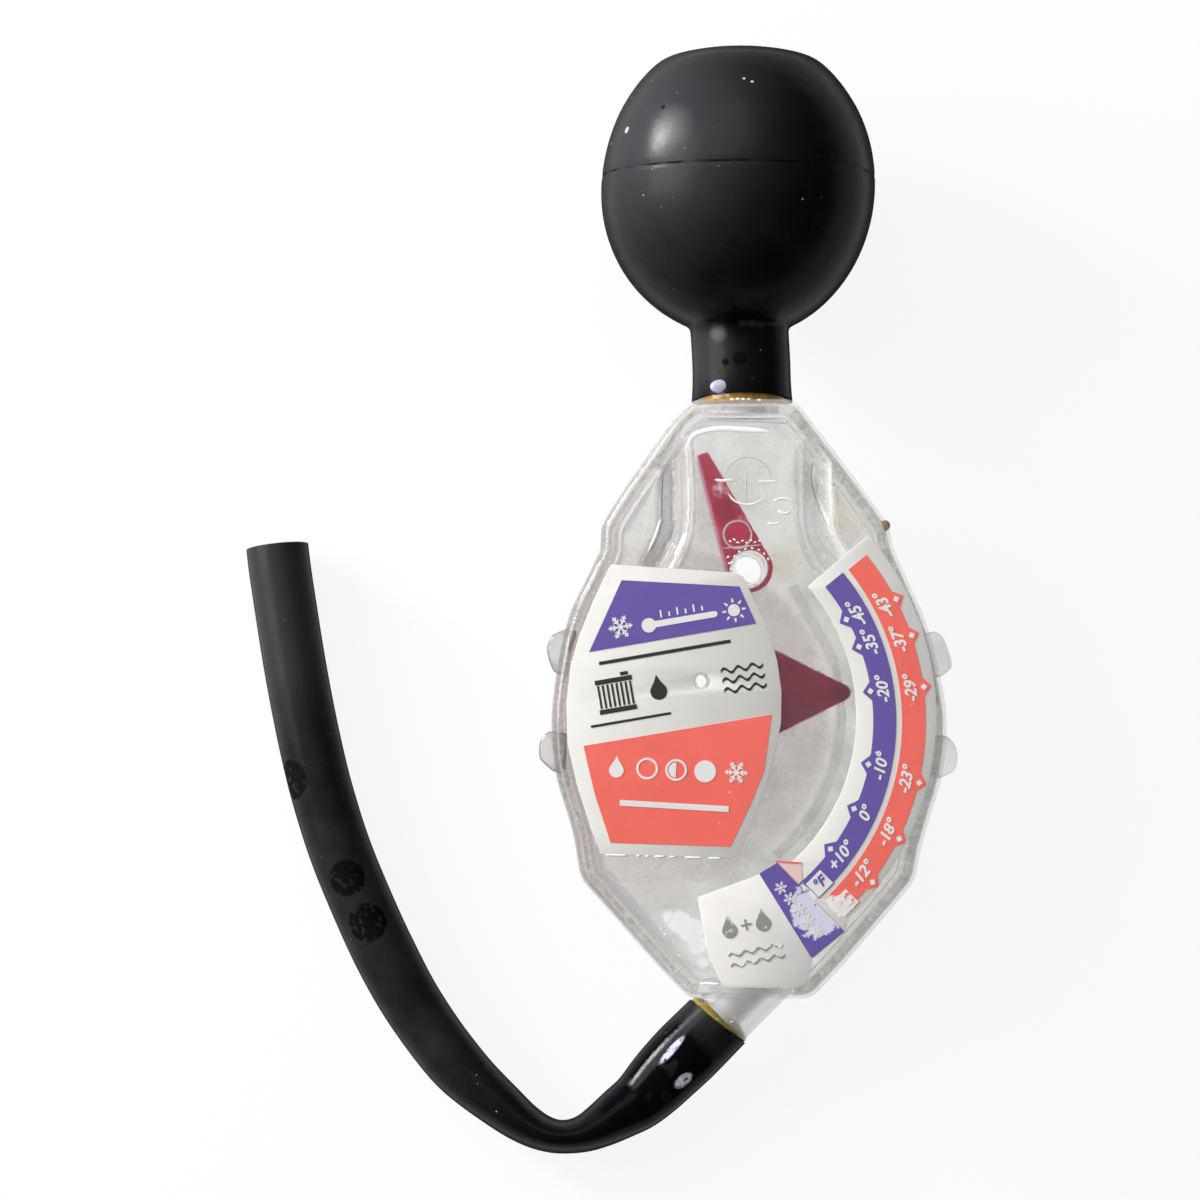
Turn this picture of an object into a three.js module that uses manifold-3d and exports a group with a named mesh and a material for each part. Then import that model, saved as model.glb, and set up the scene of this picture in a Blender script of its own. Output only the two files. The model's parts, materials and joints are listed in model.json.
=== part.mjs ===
// A squeeze-bulb antifreeze tester, lying on its back with the dial up: a rubber bulb, a clear housing
// of two shells with a swinging pointer and a small level arm inside, two labels and a suction hose.
//
// Everything but the hose is laid out in the tester's own frame: x to the right of the dial, y along the
// tester to the bulb, z out of the dial, zero at the middle of the housing on the parting plane.
// The tester leans on its bulb and on the lower back edge of its housing, so that frame is tilted.
import * as THREE from "three";
import { mergeVertices } from "three/addons/utils/BufferGeometryUtils.js";
import Module from "manifold-3d";

const wasm = await Module();
wasm.setup();

const degree = Math.PI / 180;

// Fits, in millimetres
const seatGap = 0.3; // between pieces that are fixed to each other
const runningGap = 0.4; // beside and under what swings
const overrun = 1; // how far a cutting tool passes the face that it cuts
const cornerShare = 0.5; // a corner moves at most one over this share of the distance that its edges move

// Housing
const housingHalfWidth = 34.3;
const housingHalfLength = 51.9;
const frontDepth = 10; // parting plane to the dial face
const backDepth = 12; // parting plane to the back face
const shellWall = 1.8;
const flangeWall = 2.4;
const frontEdgeInset = 1.8; // the rounded edge round the dial face
const frontEdgeDepth = 2.2;
const backEdgeInset = 3;
const backEdgeDepth = 3.6;
const edgeSteps = 3;

// Half of the housing's outline, from the neck down to the foot, as shares of the half width and length
const shoulderShares = [
  [0.257, 1],
  [0.335, 0.931],
  [0.469, 0.813],
  [0.595, 0.699],
  [0.732, 0.568],
];
const flankShares = [
  [0.735, 0.511],
  [0.822, 0.38],
  [0.913, 0.233],
  [0.985, 0.028],
  [1, -0.11],
  [0.974, -0.262],
  [0.907, -0.405],
  [0.851, -0.538],
];
const footShares = [
  [0.843, -0.599],
  [0.767, -0.661],
  [0.478, -0.882],
  [0.31, -1],
];
const flankSteps = 20;

// Locating lugs on the flange
const lugWidth = 7.8;
const lugReach = 6;
const lugCorner = 1.6;
const lugHalfDepth = 4;
const upperLugHeight = 8;
const upperLugEnd = 35.3; // from the centre line to the lug's outer face
const lowerLugHeight = -10;
const lowerLugEnd = 36.4;

// Finger grooves in the upper part of the dial face
const grooveHalfSpan = 12.3; // centre line of the tester to the middle of a groove
const grooveWidth = 4.6;
const grooveDepth = 3;
const grooveShares = [
  [1.02, 0.84],
  [1, 0.73],
  [1, 0.64],
  [1.05, 0.54],
  [1.27, 0.44],
];
const curveSteps = 14;

// Ribs inside the back shell
const ribWidth = 1.4;
const funnelHalfWidth = 9.5; // centre line of the tester to the rib's inner face
const wellRadius = 32.2; // pivot to the middle of the well's curved rib
const wellTopAngle = 20 * degree;
const wellBottomAngle = -50 * degree;
const wellReturnLength = 13.5;
const wellReturnAngle = 119 * degree;

// Neck stub that the bulb is pushed over
const stubRadius = 6.2;
const stubBoreRadius = 4;
const stubLength = 10;

// Spigot for the hose, at a slant under the foot
const spigotRadius = 5.6;
const spigotHeight = -3; // from the parting plane
const spigotEndX = -5.1;
const spigotDrop = 4.7; // from the foot of the housing down to the middle of the spigot's end
const spigotAngle = 225 * degree;
const spigotLength = 16;
const barbRadius = 3.1;
const barbLength = 10;
const spigotBoreRadius = 2;

// Squeeze bulb
const bulbRadius = 24;
const bulbUpperHeight = 27;
const bulbLowerHeight = 26.085;
const bulbTopRadius = 12.7;
const bulbTopDome = 1.3;
const bulbTopShares = [0.5, 0]; // rings of the domed top, as shares of its radius
const bulbWall = 2.6;
const neckRadius = 8.6;
const neckLength = 11.5;
const bulbSides = 32;
const bulbRings = 8;

// Sealant
const neckSealantThickness = 0.9;
const neckSealantProud = 0.4;
const beadWidth = 0.7;
const beadHalfHeight = 0.45;
const beadStopsShort = 2; // corners of the foot that the left bead leaves to the spigot
const dropRadius = 0.95;
const dropInset = 0.6; // from the outline to the middle of the drop
const dropShare = 0.58; // where the drop sits, as a share of the half length
const hoseSealantThickness = 1.7;

// Pointer
const pivotX = -15.5;
const pivotY = -3.05;
const pointerSwingUp = 24 * degree;
const pointerSwingDown = 52 * degree;
const pointerTipRadius = 1.4;
const pointerHubRadius = 15.5;
const wedgeRadius = 11.9; // the round end of the wedge that shows past the label
const wedgeX = 8.5; // pivot to the middle of that round end
const wedgeY = 4.05;
const wedgeReach = 25.03; // from there to the tip
const pointerThickness = 3;
const pinRadius = 1.25;
const pinSeatDepth = 2.5;
const pinBossRadius = 3.2;
const weightRadius = 2.4;
const weightDistance = 10;
const weightAngle = 212 * degree;

// Level arm
const levelX = 0.3;
const levelBelowNeck = 29.3; // from the top of the housing
const levelRestAngle = 112.4 * degree;
const levelReach = 21.7;
const levelTipCorner = 0.45;
const levelTipHalfWidth = 0.72; // centre line of the arm to the middle of a tip corner
const levelHubRadius = 4.17;
const levelThickness = 2.4;
const plugRadius = 2.45;
const plugDistance = 6.35;
const plugOffset = -0.45; // from the centre line of the arm
const plugProud = 0.4;

// Hollow posts that tie the two shells together
const levelPostRadius = 3.06;
const levelPostBore = 2.54;
const levelBossRadius = 4;
const stopX = -8;
const stopY = 3;
const stopPostRadius = 1.77;
const stopPostBore = 1.17;
const roundSides = 24;

// Labels
const labelThickness = 0.2;
const nameLabelX = -12.95;
const nameLabelY = -2.2;
const nameLabelHalfWidth = 18.55;
const nameLabelHalfHeight = 25.3;
const nameLabelShares = [
  [-0.585, 1],
  [-0.752, 0.751],
  [-0.881, 0.514],
  [-0.962, 0.308],
  [-1, 0.055],
  [-0.989, -0.225],
  [-0.903, -0.502],
  [-0.774, -0.802],
  [-0.682, -0.972],
  [0.536, -1],
  [0.612, -0.96],
  [0.763, -0.696],
  [0.86, -0.502],
  [0.935, -0.292],
  [0.995, -0.083],
  [1, 0.138],
  [0.962, 0.336],
  [0.898, 0.514],
  [0.763, 0.735],
  [0.65, 0.913],
  [0.574, 0.945],
];
const scaleInnerRadius = 34;
const scaleOuterRadius = 47.8;
const scaleTopAngle = 41 * degree;
const scaleBottomAngle = -47 * degree;
const scaleSteps = 28;
const tabHalfWidth = 10.5;
const tabHalfHeight = 10.6;
const tabX = 1.6;
const tabY = -39;
const tabShares = [
  [1.3, -0.25],
  [0.876, -0.538],
  [0.83, -1],
  [-0.62, -0.98],
  [-0.8, -0.538],
  [-0.99, 0.462],
  [-0.01, 0.82],
  [0.257, 1],
];

// Hose
const hoseRadius = 5.55;
const hoseBoreRadius = 3.4;
const hoseSectionArc = 6; // a circle gets twice as many sides
const hoseSteps = 40;
const hoseStraight = 12; // straight off the spigot

// The rest of the hose's route, from beside the bend to the open end, on the surface that it lies on.
// x and y are from the point under the middle of the housing, and z is from the surface.
const hoseRoute = [
  [-18.4, -69.5, 6.9],
  [-22, -72, 7],
  [-25.5, -74.2, 7.1],
  [-28.4, -75.6, 7.1],
  [-31.3, -76.2, 7.1],
  [-34.3, -76, 7.1],
  [-37.8, -74.6, 6.8],
  [-42.2, -71.5, 6.4],
  [-50.5, -64.1, 5.9],
  [-58, -54.2, 5.6],
  [-63.5, -44.5, 5.6],
  [-68.4, -33.9, 5.6],
  [-72, -25, 5.6],
  [-75, -15.5, 5.6],
  [-77, -7.5, 5.6],
  [-78.7, 0.5, 5.6],
  [-80.2, 8.5, 5.6],
  [-81.6, 17, 5.6],
  [-82.7, 24, 5.6],
  [-83.2, 28, 5.6],
];

// Places that follow from the sizes
const neckEnd = housingHalfLength + neckSealantThickness + 2 * seatGap;
const neckMeetsBall = bulbLowerHeight * Math.sqrt(1 - (neckRadius / bulbRadius) ** 2);
const bulbCentre = neckEnd + neckLength + neckMeetsBall;
const levelY = housingHalfLength - levelBelowNeck;
const dialInside = frontDepth - shellWall;
const floorInside = -(backDepth - shellWall);
const restEdge = housingHalfLength - backEdgeInset;
const spigotDirection = new THREE.Vector3(Math.cos(spigotAngle), Math.sin(spigotAngle), 0);
const hoseStart = new THREE.Vector3(spigotEndX, -housingHalfLength - spigotDrop, spigotHeight);

// The tester rests on two places: under the bulb, and on the back shell's lower edge.
const restSpan = bulbCentre + restEdge;
const tilt = Math.asin(bulbRadius / Math.hypot(restSpan, backDepth)) - Math.atan2(backDepth, restSpan);
const lift = restEdge * Math.sin(tilt) + backDepth * Math.cos(tilt);

const clearPlastic = new THREE.MeshStandardMaterial({
  color: 0xdcdadb,
  roughness: 0.12,
  transparent: true,
  opacity: 0.35,
});
const blackRubber = new THREE.MeshStandardMaterial({ color: 0x161819, roughness: 0.55 });
const amberCement = new THREE.MeshStandardMaterial({ color: 0xa8761c, roughness: 0.25 });
const maroonPlastic = new THREE.MeshStandardMaterial({ color: 0x6e1d35, roughness: 0.4 });
const crimsonPlastic = new THREE.MeshStandardMaterial({ color: 0xa3244c, roughness: 0.45 });
const labelPaper = new THREE.MeshStandardMaterial({ color: 0xe4e3de, roughness: 0.6 });
const brass = new THREE.MeshStandardMaterial({ color: 0xb08d4a, roughness: 0.35, metalness: 1 });
const steel = new THREE.MeshStandardMaterial({ color: 0xb8babd, roughness: 0.3, metalness: 1 });

// Solids
function toSolid(geometry) {
  const bare = geometry.clone();
  bare.deleteAttribute("normal");
  bare.deleteAttribute("uv");
  const merged = mergeVertices(bare);
  const mesh = new wasm.Mesh({
    numProp: 3,
    vertProperties: new Float32Array(merged.attributes.position.array),
    triVerts: new Uint32Array(merged.index.array),
  });
  return new wasm.Manifold(mesh);
}

function toGeometry(solid) {
  const mesh = solid.getMesh();
  const geometry = new THREE.BufferGeometry();
  geometry.setAttribute("position", new THREE.BufferAttribute(mesh.vertProperties, 3));
  geometry.setIndex(new THREE.BufferAttribute(mesh.triVerts, 1));
  const faceted = geometry.toNonIndexed();
  faceted.computeVertexNormals();
  return faceted;
}

function plate(points, low, high, holes = []) {
  const shape = new THREE.Shape(points);
  shape.holes = holes.map((hole) => new THREE.Path(hole));
  const geometry = new THREE.ExtrudeGeometry(shape, { depth: high - low, bevelEnabled: false });
  return toSolid(geometry.translate(0, 0, low));
}

// A block with the outline's shape, both faces flat and every edge rounded
function pillow(points, halfDepth, edgeInset, edgeDepth) {
  const geometry = new THREE.ExtrudeGeometry(new THREE.Shape(points), {
    depth: 2 * (halfDepth - edgeDepth),
    bevelThickness: edgeDepth,
    bevelSize: edgeInset,
    bevelOffset: -edgeInset,
    bevelSegments: edgeSteps,
  });
  return toSolid(geometry.translate(0, 0, edgeDepth - halfDepth));
}

function rod(radius, x, y, low, high, sides = roundSides) {
  const geometry = new THREE.CylinderGeometry(radius, radius, high - low, sides);
  return toSolid(geometry.rotateX(90 * degree).translate(x, y, (low + high) / 2));
}

function rodAlong(radius, start, direction, length, sides = roundSides) {
  const geometry = new THREE.CylinderGeometry(radius, radius, length, sides);
  const turn = new THREE.Quaternion().setFromUnitVectors(new THREE.Vector3(0, 1, 0), direction);
  const middle = start.clone().addScaledVector(direction, length / 2);
  return toSolid(geometry.applyQuaternion(turn).translate(middle.x, middle.y, middle.z));
}

// A block that holds everything above a plane of constant z
const cutterSide = 4 * housingHalfLength;

function everythingAbove(level) {
  const cube = new THREE.BoxGeometry(cutterSide, cutterSide, cutterSide);
  return toSolid(cube.translate(0, 0, level + cutterSide / 2));
}

function everythingBelow(level) {
  return everythingAbove(level - cutterSide);
}

// Outlines
function vectors(shares, width, height, x = 0, y = 0) {
  return shares.map(([across, along]) => new THREE.Vector2(x + across * width, y + along * height));
}

function halfOutline() {
  const flank = new THREE.SplineCurve(vectors(flankShares, housingHalfWidth, housingHalfLength));
  return [
    ...vectors(shoulderShares, housingHalfWidth, housingHalfLength),
    ...flank.getSpacedPoints(flankSteps),
    ...vectors(footShares, housingHalfWidth, housingHalfLength),
  ];
}

function mirrored(points) {
  return points.map((p) => new THREE.Vector2(-p.x, p.y)).reverse();
}

// The points moved sideways, each along the mean of its two edges' normals. A positive distance moves
// a clockwise outline's points inwards.
function shifted(points, distance, closed) {
  const last = points.length - 1;
  return points.map((p, i) => {
    const before = points[i > 0 ? i - 1 : closed ? last : 0];
    const after = points[i < last ? i + 1 : closed ? 0 : last];
    const into = p.clone().sub(before);
    const out = after.clone().sub(p);
    if (into.length() === 0) into.copy(out);
    if (out.length() === 0) out.copy(into);
    into.normalize();
    out.normalize();
    const along = into.clone().add(out).normalize();
    const stretch = 1 / Math.max(cornerShare, along.dot(out));
    return new THREE.Vector2(
      p.x + along.y * distance * stretch,
      p.y - along.x * distance * stretch,
    );
  });
}

// A band of the given width along an open line of points
function strip(points, width) {
  return [...shifted(points, width / 2, false), ...shifted(points, -width / 2, false).reverse()];
}

function arc(x, y, radius, from, to, steps) {
  return Array.from({ length: steps + 1 }, (_, i) => {
    const angle = from + ((to - from) * i) / steps;
    return new THREE.Vector2(x + radius * Math.cos(angle), y + radius * Math.sin(angle));
  });
}

function circle(x, y, radius) {
  return arc(x, y, radius, 0, 360 * degree, roundSides).slice(1);
}

// A drop shape along +x: a round end about x, y and a rounded tip at reach from there
function dropOutline(x, y, hubRadius, tipRadius, reach) {
  const tipCentre = reach - tipRadius;
  const lean = Math.acos((hubRadius - tipRadius) / tipCentre);
  return [
    ...arc(x, y, hubRadius, lean, 360 * degree - lean, roundSides),
    ...arc(x + tipCentre, y, tipRadius, -lean, lean, roundSides / 4),
  ];
}

// An arm along +x: a round end about zero and a blunt tip with two rounded corners at reach
function armOutline(hubRadius, corner, tipHalfWidth, reach) {
  const tipCentre = reach - corner;
  const distance = Math.hypot(tipCentre, tipHalfWidth);
  const lean = Math.acos((hubRadius - corner) / distance) + Math.atan2(tipHalfWidth, tipCentre);
  return [
    ...arc(0, 0, hubRadius, lean, 360 * degree - lean, roundSides),
    ...arc(tipCentre, -tipHalfWidth, corner, -lean, 0, edgeSteps),
    ...arc(tipCentre, tipHalfWidth, corner, 0, lean, edgeSteps),
  ];
}

function roundedBlock(x, y, width, height, corner, low, high) {
  const right = x + width / 2 - corner;
  const left = x - width / 2 + corner;
  const top = y + height / 2 - corner;
  const bottom = y - height / 2 + corner;
  const outline = [
    ...arc(right, top, corner, 0, 90 * degree, edgeSteps),
    ...arc(left, top, corner, 90 * degree, 180 * degree, edgeSteps),
    ...arc(left, bottom, corner, 180 * degree, 270 * degree, edgeSteps),
    ...arc(right, bottom, corner, 270 * degree, 360 * degree, edgeSteps),
  ];
  return plate(outline, low, high);
}

const rightHalf = halfOutline();
const outline = [...rightHalf, ...mirrored(rightHalf)];
const innerOutline = shifted(outline, flangeWall, true);

function lugs(low, high) {
  const places = [
    [upperLugHeight, upperLugEnd],
    [lowerLugHeight, lowerLugEnd],
  ];
  return [-1, 1].flatMap((side) =>
    places.map(([y, end]) => {
      const x = side * (end - lugReach / 2);
      return roundedBlock(x, y, lugReach, lugWidth, lugCorner, low, high);
    }),
  );
}

function grooveLine(side) {
  const middle = vectors(grooveShares, side * grooveHalfSpan, housingHalfLength);
  return new THREE.SplineCurve(middle).getSpacedPoints(curveSteps);
}

// The sealing bead's line on one side of the housing, from beside the neck to beside the spigot
function beadLine(side) {
  const middle = shifted(rightHalf, flangeWall / 2, false).slice(1);
  const used = side < 0 ? middle.slice(0, -beadStopsShort) : middle;
  return used.map((p) => new THREE.Vector2(side * p.x, p.y));
}

function oriented(points) {
  return THREE.ShapeUtils.isClockWise(points) ? points.slice().reverse() : points;
}

function bead(side, width, halfHeight) {
  return plate(oriented(strip(beadLine(side), width)), -halfHeight, halfHeight);
}

function drop(radius) {
  const x = housingHalfWidth * shoulderShares.at(-1)[0] - dropInset;
  const y = housingHalfLength * dropShare;
  return toSolid(new THREE.SphereGeometry(radius, roundSides / 2, roundSides / 3).translate(x, y, 0));
}

const cavity = {
  front: pillow(innerOutline, dialInside, frontEdgeInset, frontEdgeDepth),
  back: pillow(innerOutline, -floorInside, backEdgeInset, backEdgeDepth),
};
const spigotFar = hoseStart.clone().addScaledVector(spigotDirection, -hoseSealantThickness - seatGap);

// What passes through both shells, or meets them from outside, grown by its clearance
function openings() {
  const deep = backDepth + overrun;
  const high = frontDepth + overrun;
  const stubEnd = new THREE.Vector3(0, housingHalfLength + stubLength + overrun, 0);
  const down = new THREE.Vector3(0, -1, 0);
  const boreEnd = hoseStart.clone().addScaledVector(spigotDirection, barbLength + overrun);
  const back = spigotDirection.clone().negate();
  return [
    rod(levelPostRadius + seatGap, levelX, levelY, -deep, high),
    rod(stopPostRadius + seatGap, stopX, stopY, -deep, high),
    rod(pinRadius + seatGap, pivotX, pivotY, -pinHalfLength() - seatGap, pinHalfLength() + seatGap),
    rodAlong(stubBoreRadius, stubEnd, down, stubLength + 2 * flangeWall + 2 * overrun),
    rodAlong(spigotBoreRadius, boreEnd, back, barbLength + spigotLength + overrun, roundSides / 2),
    bead(-1, beadWidth + 2 * seatGap, beadHalfHeight + seatGap),
    bead(1, beadWidth + 2 * seatGap, beadHalfHeight + seatGap),
    drop(dropRadius + seatGap),
  ];
}

function pinHalfLength() {
  return pointerThickness / 2 + runningGap + pinSeatDepth;
}

function joined(solids) {
  return solids.reduce((sum, next) => sum.add(next));
}

function cut(solid, tools) {
  return tools.reduce((left, tool) => left.subtract(tool), solid);
}

// The tube that the bulb's neck sits on. Each shell carries half of it.
function neckStub() {
  const root = new THREE.Vector3(0, housingHalfLength - flangeWall, 0);
  return rodAlong(stubRadius, root, new THREE.Vector3(0, 1, 0), stubLength + flangeWall);
}

function frontShell() {
  const bossFoot = pointerThickness / 2 + runningGap;
  const armFoot = levelThickness / 2 + runningGap;
  const grooves = [-1, 1].map((side) => oriented(strip(grooveLine(side), grooveWidth)));
  const innerGrooves = [-1, 1].map((side) =>
    oriented(strip(grooveLine(side), grooveWidth + 2 * shellWall)),
  );
  const outside = cut(
    pillow(outline, frontDepth, frontEdgeInset, frontEdgeDepth),
    grooves.map((shape) => plate(shape, frontDepth - grooveDepth, frontDepth + overrun)),
  );
  const inside = cut(
    cavity.front,
    innerGrooves.map((shape) => plate(shape, dialInside - grooveDepth, frontDepth + overrun)),
  );
  const bosses = [
    rod(pinBossRadius, pivotX, pivotY, bossFoot, dialInside + shellWall / 2),
    rod(levelBossRadius, levelX, levelY, armFoot, dialInside + shellWall / 2),
  ];
  const solid = joined([outside, neckStub(), ...lugs(0, lugHalfDepth)]).subtract(inside);
  const inward = spigotDirection.clone().negate();
  const spigot = rodAlong(spigotRadius + seatGap, spigotFar, inward, spigotLength);
  return cut(joined([solid, ...bosses]), [...openings(), spigot, everythingBelow(seatGap / 2)]);
}

function wellRib() {
  const curve = arc(pivotX, pivotY, wellRadius, wellBottomAngle, wellTopAngle, curveSteps);
  const corner = curve.at(-1);
  const end = new THREE.Vector2(
    corner.x + wellReturnLength * Math.cos(wellReturnAngle),
    corner.y + wellReturnLength * Math.sin(wellReturnAngle),
  );
  const top = -pointerThickness / 2 - runningGap;
  return plate(oriented(strip([...curve, end], ribWidth)), floorInside - shellWall / 2, top);
}

// The level arm leans on one of these two ribs at each end of its swing.
function funnelRib(side) {
  const span = funnelHalfWidth + ribWidth / 2;
  const middle = vectors(grooveShares, side * span, housingHalfLength);
  const line = new THREE.SplineCurve(middle).getSpacedPoints(curveSteps);
  return plate(oriented(strip(line, ribWidth)), floorInside - shellWall / 2, 0);
}

function backShell() {
  const bossTop = -pointerThickness / 2 - runningGap;
  const armTop = -levelThickness / 2 - runningGap;
  const root = floorInside - shellWall / 2;
  const inward = spigotDirection.clone().negate();
  const spigot = cut(rodAlong(spigotRadius, spigotFar, inward, spigotLength), [
    cavity.front,
    cavity.back,
  ]);
  const barbEnd = hoseStart.clone().addScaledVector(spigotDirection, barbLength);
  const barb = rodAlong(barbRadius, barbEnd, inward, barbLength + spigotLength / 2);
  const lower = cut(
    joined([
      pillow(outline, backDepth, backEdgeInset, backEdgeDepth),
      neckStub(),
      ...lugs(-lugHalfDepth, 0),
    ]).subtract(cavity.back),
    [everythingAbove(-seatGap / 2)],
  );
  const inner = joined([
    rod(pinBossRadius, pivotX, pivotY, root, bossTop),
    rod(levelBossRadius, levelX, levelY, root, armTop),
    wellRib(),
    funnelRib(-1),
    funnelRib(1),
  ]);
  const ribs = cut(inner, [everythingAbove(-seatGap / 2)]);
  return cut(joined([lower, ribs, spigot, barb]), openings());
}

// Rubber
function bulbProfile(inset) {
  const radius = bulbRadius - inset;
  const upper = bulbUpperHeight - inset;
  const lower = bulbLowerHeight - inset;
  const neck = inset ? stubRadius + seatGap : neckRadius;
  const top = bulbTopRadius - inset;
  const topAngle = Math.acos(top / radius);
  const bottomAngle = Math.acos(neck / radius);
  const points = [new THREE.Vector2(neck, neckEnd)];
  for (let i = 0; i <= bulbRings; i += 1) {
    const angle = -bottomAngle + (bottomAngle * i) / bulbRings;
    points.push(new THREE.Vector2(radius * Math.cos(angle), bulbCentre + lower * Math.sin(angle)));
  }
  for (let i = 1; i <= bulbRings; i += 1) {
    const angle = (topAngle * i) / bulbRings;
    points.push(new THREE.Vector2(radius * Math.cos(angle), bulbCentre + upper * Math.sin(angle)));
  }
  const rim = bulbCentre + upper * Math.sin(topAngle);
  for (const share of bulbTopShares) {
    points.push(new THREE.Vector2(top * share, rim + bulbTopDome * (1 - share ** 2)));
  }
  return points;
}

function squeezeBulb() {
  const profile = [...bulbProfile(0), ...bulbProfile(bulbWall).reverse()];
  profile.push(profile[0].clone());
  return toSolid(new THREE.LatheGeometry(profile, bulbSides));
}

function ring(innerRadius, outerRadius, low, high) {
  const profile = [
    new THREE.Vector2(innerRadius, low),
    new THREE.Vector2(outerRadius, low),
    new THREE.Vector2(outerRadius, high),
    new THREE.Vector2(innerRadius, high),
    new THREE.Vector2(innerRadius, low),
  ];
  return toSolid(new THREE.LatheGeometry(profile, bulbSides));
}

function neckSealant() {
  const low = housingHalfLength + seatGap;
  const outer = neckRadius + neckSealantProud;
  return ring(stubRadius + seatGap, outer, low, low + neckSealantThickness);
}

function hoseSealant() {
  const start = hoseStart.clone().addScaledVector(spigotDirection, -hoseSealantThickness);
  const length = hoseSealantThickness - seatGap;
  const hole = start.clone().addScaledVector(spigotDirection, -overrun);
  return cut(rodAlong(hoseRadius, start, spigotDirection, length), [
    rodAlong(barbRadius + seatGap, hole, spigotDirection, length + 2 * overrun),
    plate(oriented(shifted(outline, -seatGap, true)), -backDepth, frontDepth),
  ]);
}

// Swinging pieces, each about its own pivot
function stopSlot() {
  const distance = Math.hypot(stopX - pivotX, stopY - pivotY);
  const atRest = Math.atan2(stopY - pivotY, stopX - pivotX);
  const halfWidth = stopPostRadius + runningGap;
  const spare = Math.asin(halfWidth / distance);
  const low = atRest - pointerSwingUp - spare;
  const high = atRest + pointerSwingDown + spare;
  const steps = roundSides / 2;
  return [
    ...arc(0, 0, distance + halfWidth, low, high, steps),
    ...arc(0, 0, distance - halfWidth, high, low, steps),
  ];
}

function weightPlace() {
  return [weightDistance * Math.cos(weightAngle), weightDistance * Math.sin(weightAngle)];
}

function pointerFloat() {
  const half = pointerThickness / 2;
  const wedge = dropOutline(wedgeX, wedgeY, wedgeRadius, pointerTipRadius, wedgeReach);
  const body = joined([plate(wedge, -half, half), rod(pointerHubRadius, 0, 0, -half, half)]);
  const through = half + overrun;
  return cut(body, [
    rod(pinRadius + seatGap, 0, 0, -through, through),
    plate(stopSlot(), -through, through),
    rod(weightRadius + seatGap, ...weightPlace(), -through, through),
  ]);
}

function pointerWeight() {
  return rod(weightRadius, ...weightPlace(), -pointerThickness / 2, pointerThickness / 2);
}

function levelArm() {
  const half = levelThickness / 2;
  const body = armOutline(levelHubRadius, levelTipCorner, levelTipHalfWidth, levelReach);
  const hub = circle(0, 0, levelPostRadius + seatGap);
  const seat = circle(plugDistance, plugOffset, plugRadius + seatGap / 2);
  return plate(body, -half, half, [hub, seat]);
}

function levelPlug() {
  const half = levelThickness / 2;
  return rod(plugRadius - seatGap / 2, plugDistance, plugOffset, -half, half + plugProud);
}

function post(x, y, radius, boreRadius) {
  const bore = rod(boreRadius, x, y, -backDepth - overrun, frontDepth + overrun);
  return rod(radius, x, y, -backDepth, frontDepth).subtract(bore);
}

// Labels
function labelPlate(points) {
  const low = frontDepth + seatGap;
  const punches = [
    rod(levelPostBore + seatGap, levelX, levelY, frontDepth, low + labelThickness + overrun),
    rod(stopPostBore + seatGap, stopX, stopY, frontDepth, low + labelThickness + overrun),
  ];
  return cut(plate(oriented(points), low, low + labelThickness), punches);
}

function nameLabel() {
  return labelPlate(
    vectors(nameLabelShares, nameLabelHalfWidth, nameLabelHalfHeight, nameLabelX, nameLabelY),
  );
}

function scaleLabel() {
  return labelPlate([
    ...arc(pivotX, pivotY, scaleOuterRadius, scaleTopAngle, scaleBottomAngle, scaleSteps),
    ...vectors(tabShares, tabHalfWidth, tabHalfHeight, tabX, tabY),
    ...arc(pivotX, pivotY, scaleInnerRadius, scaleBottomAngle, scaleTopAngle, scaleSteps),
  ]);
}

function mesh(name, solid, material) {
  const made = new THREE.Mesh(toGeometry(solid), material);
  made.name = name;
  return made;
}

const tester = new THREE.Group();
tester.rotation.x = tilt;
tester.position.z = lift;
tester.add(
  mesh("squeeze_bulb", squeezeBulb(), blackRubber),
  mesh("bulb_sealant", neckSealant(), amberCement),
  mesh("front_shell", frontShell(), clearPlastic),
  mesh("back_shell", backShell(), clearPlastic),
  mesh("seam_sealant_left", bead(-1, beadWidth, beadHalfHeight), amberCement),
  mesh("seam_sealant_right", bead(1, beadWidth, beadHalfHeight).add(drop(dropRadius)), amberCement),
  mesh("level_arm_post", post(levelX, levelY, levelPostRadius, levelPostBore), clearPlastic),
  mesh("stop_post", post(stopX, stopY, stopPostRadius, stopPostBore), clearPlastic),
  mesh(
    "pointer_pivot_pin",
    rod(pinRadius, pivotX, pivotY, -pinHalfLength(), pinHalfLength()),
    steel,
  ),
  mesh("name_label", nameLabel(), labelPaper),
  mesh("scale_label", scaleLabel(), labelPaper),
  mesh("hose_sealant", hoseSealant(), amberCement),
);

const pointer = new THREE.Group();
pointer.position.set(pivotX, pivotY, 0);
pointer.add(
  mesh("pointer_float", pointerFloat(), maroonPlastic),
  mesh("pointer_weight", pointerWeight(), brass),
);
tester.add(pointer);

const level = new THREE.Group();
level.position.set(levelX, levelY, 0);
level.rotation.z = levelRestAngle;
level.add(
  mesh("level_arm", levelArm(), crimsonPlastic),
  mesh("level_arm_plug", levelPlug(), crimsonPlastic),
);
tester.add(level);

// The part's origin is under the middle of the box round everything but the hose.
tester.updateMatrixWorld(true);
const box = new THREE.Box3().setFromObject(tester, true);
const middle = box.getCenter(new THREE.Vector3());

// The hose leaves the spigot along its axis, comes down to the surface, bends and runs back along it.
const turn = new THREE.Euler(tilt, 0, 0);
const hoseDirection = spigotDirection.clone().applyEuler(turn);
const hoseOrigin = hoseStart.clone().applyEuler(turn).add(new THREE.Vector3(0, 0, lift));

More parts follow.
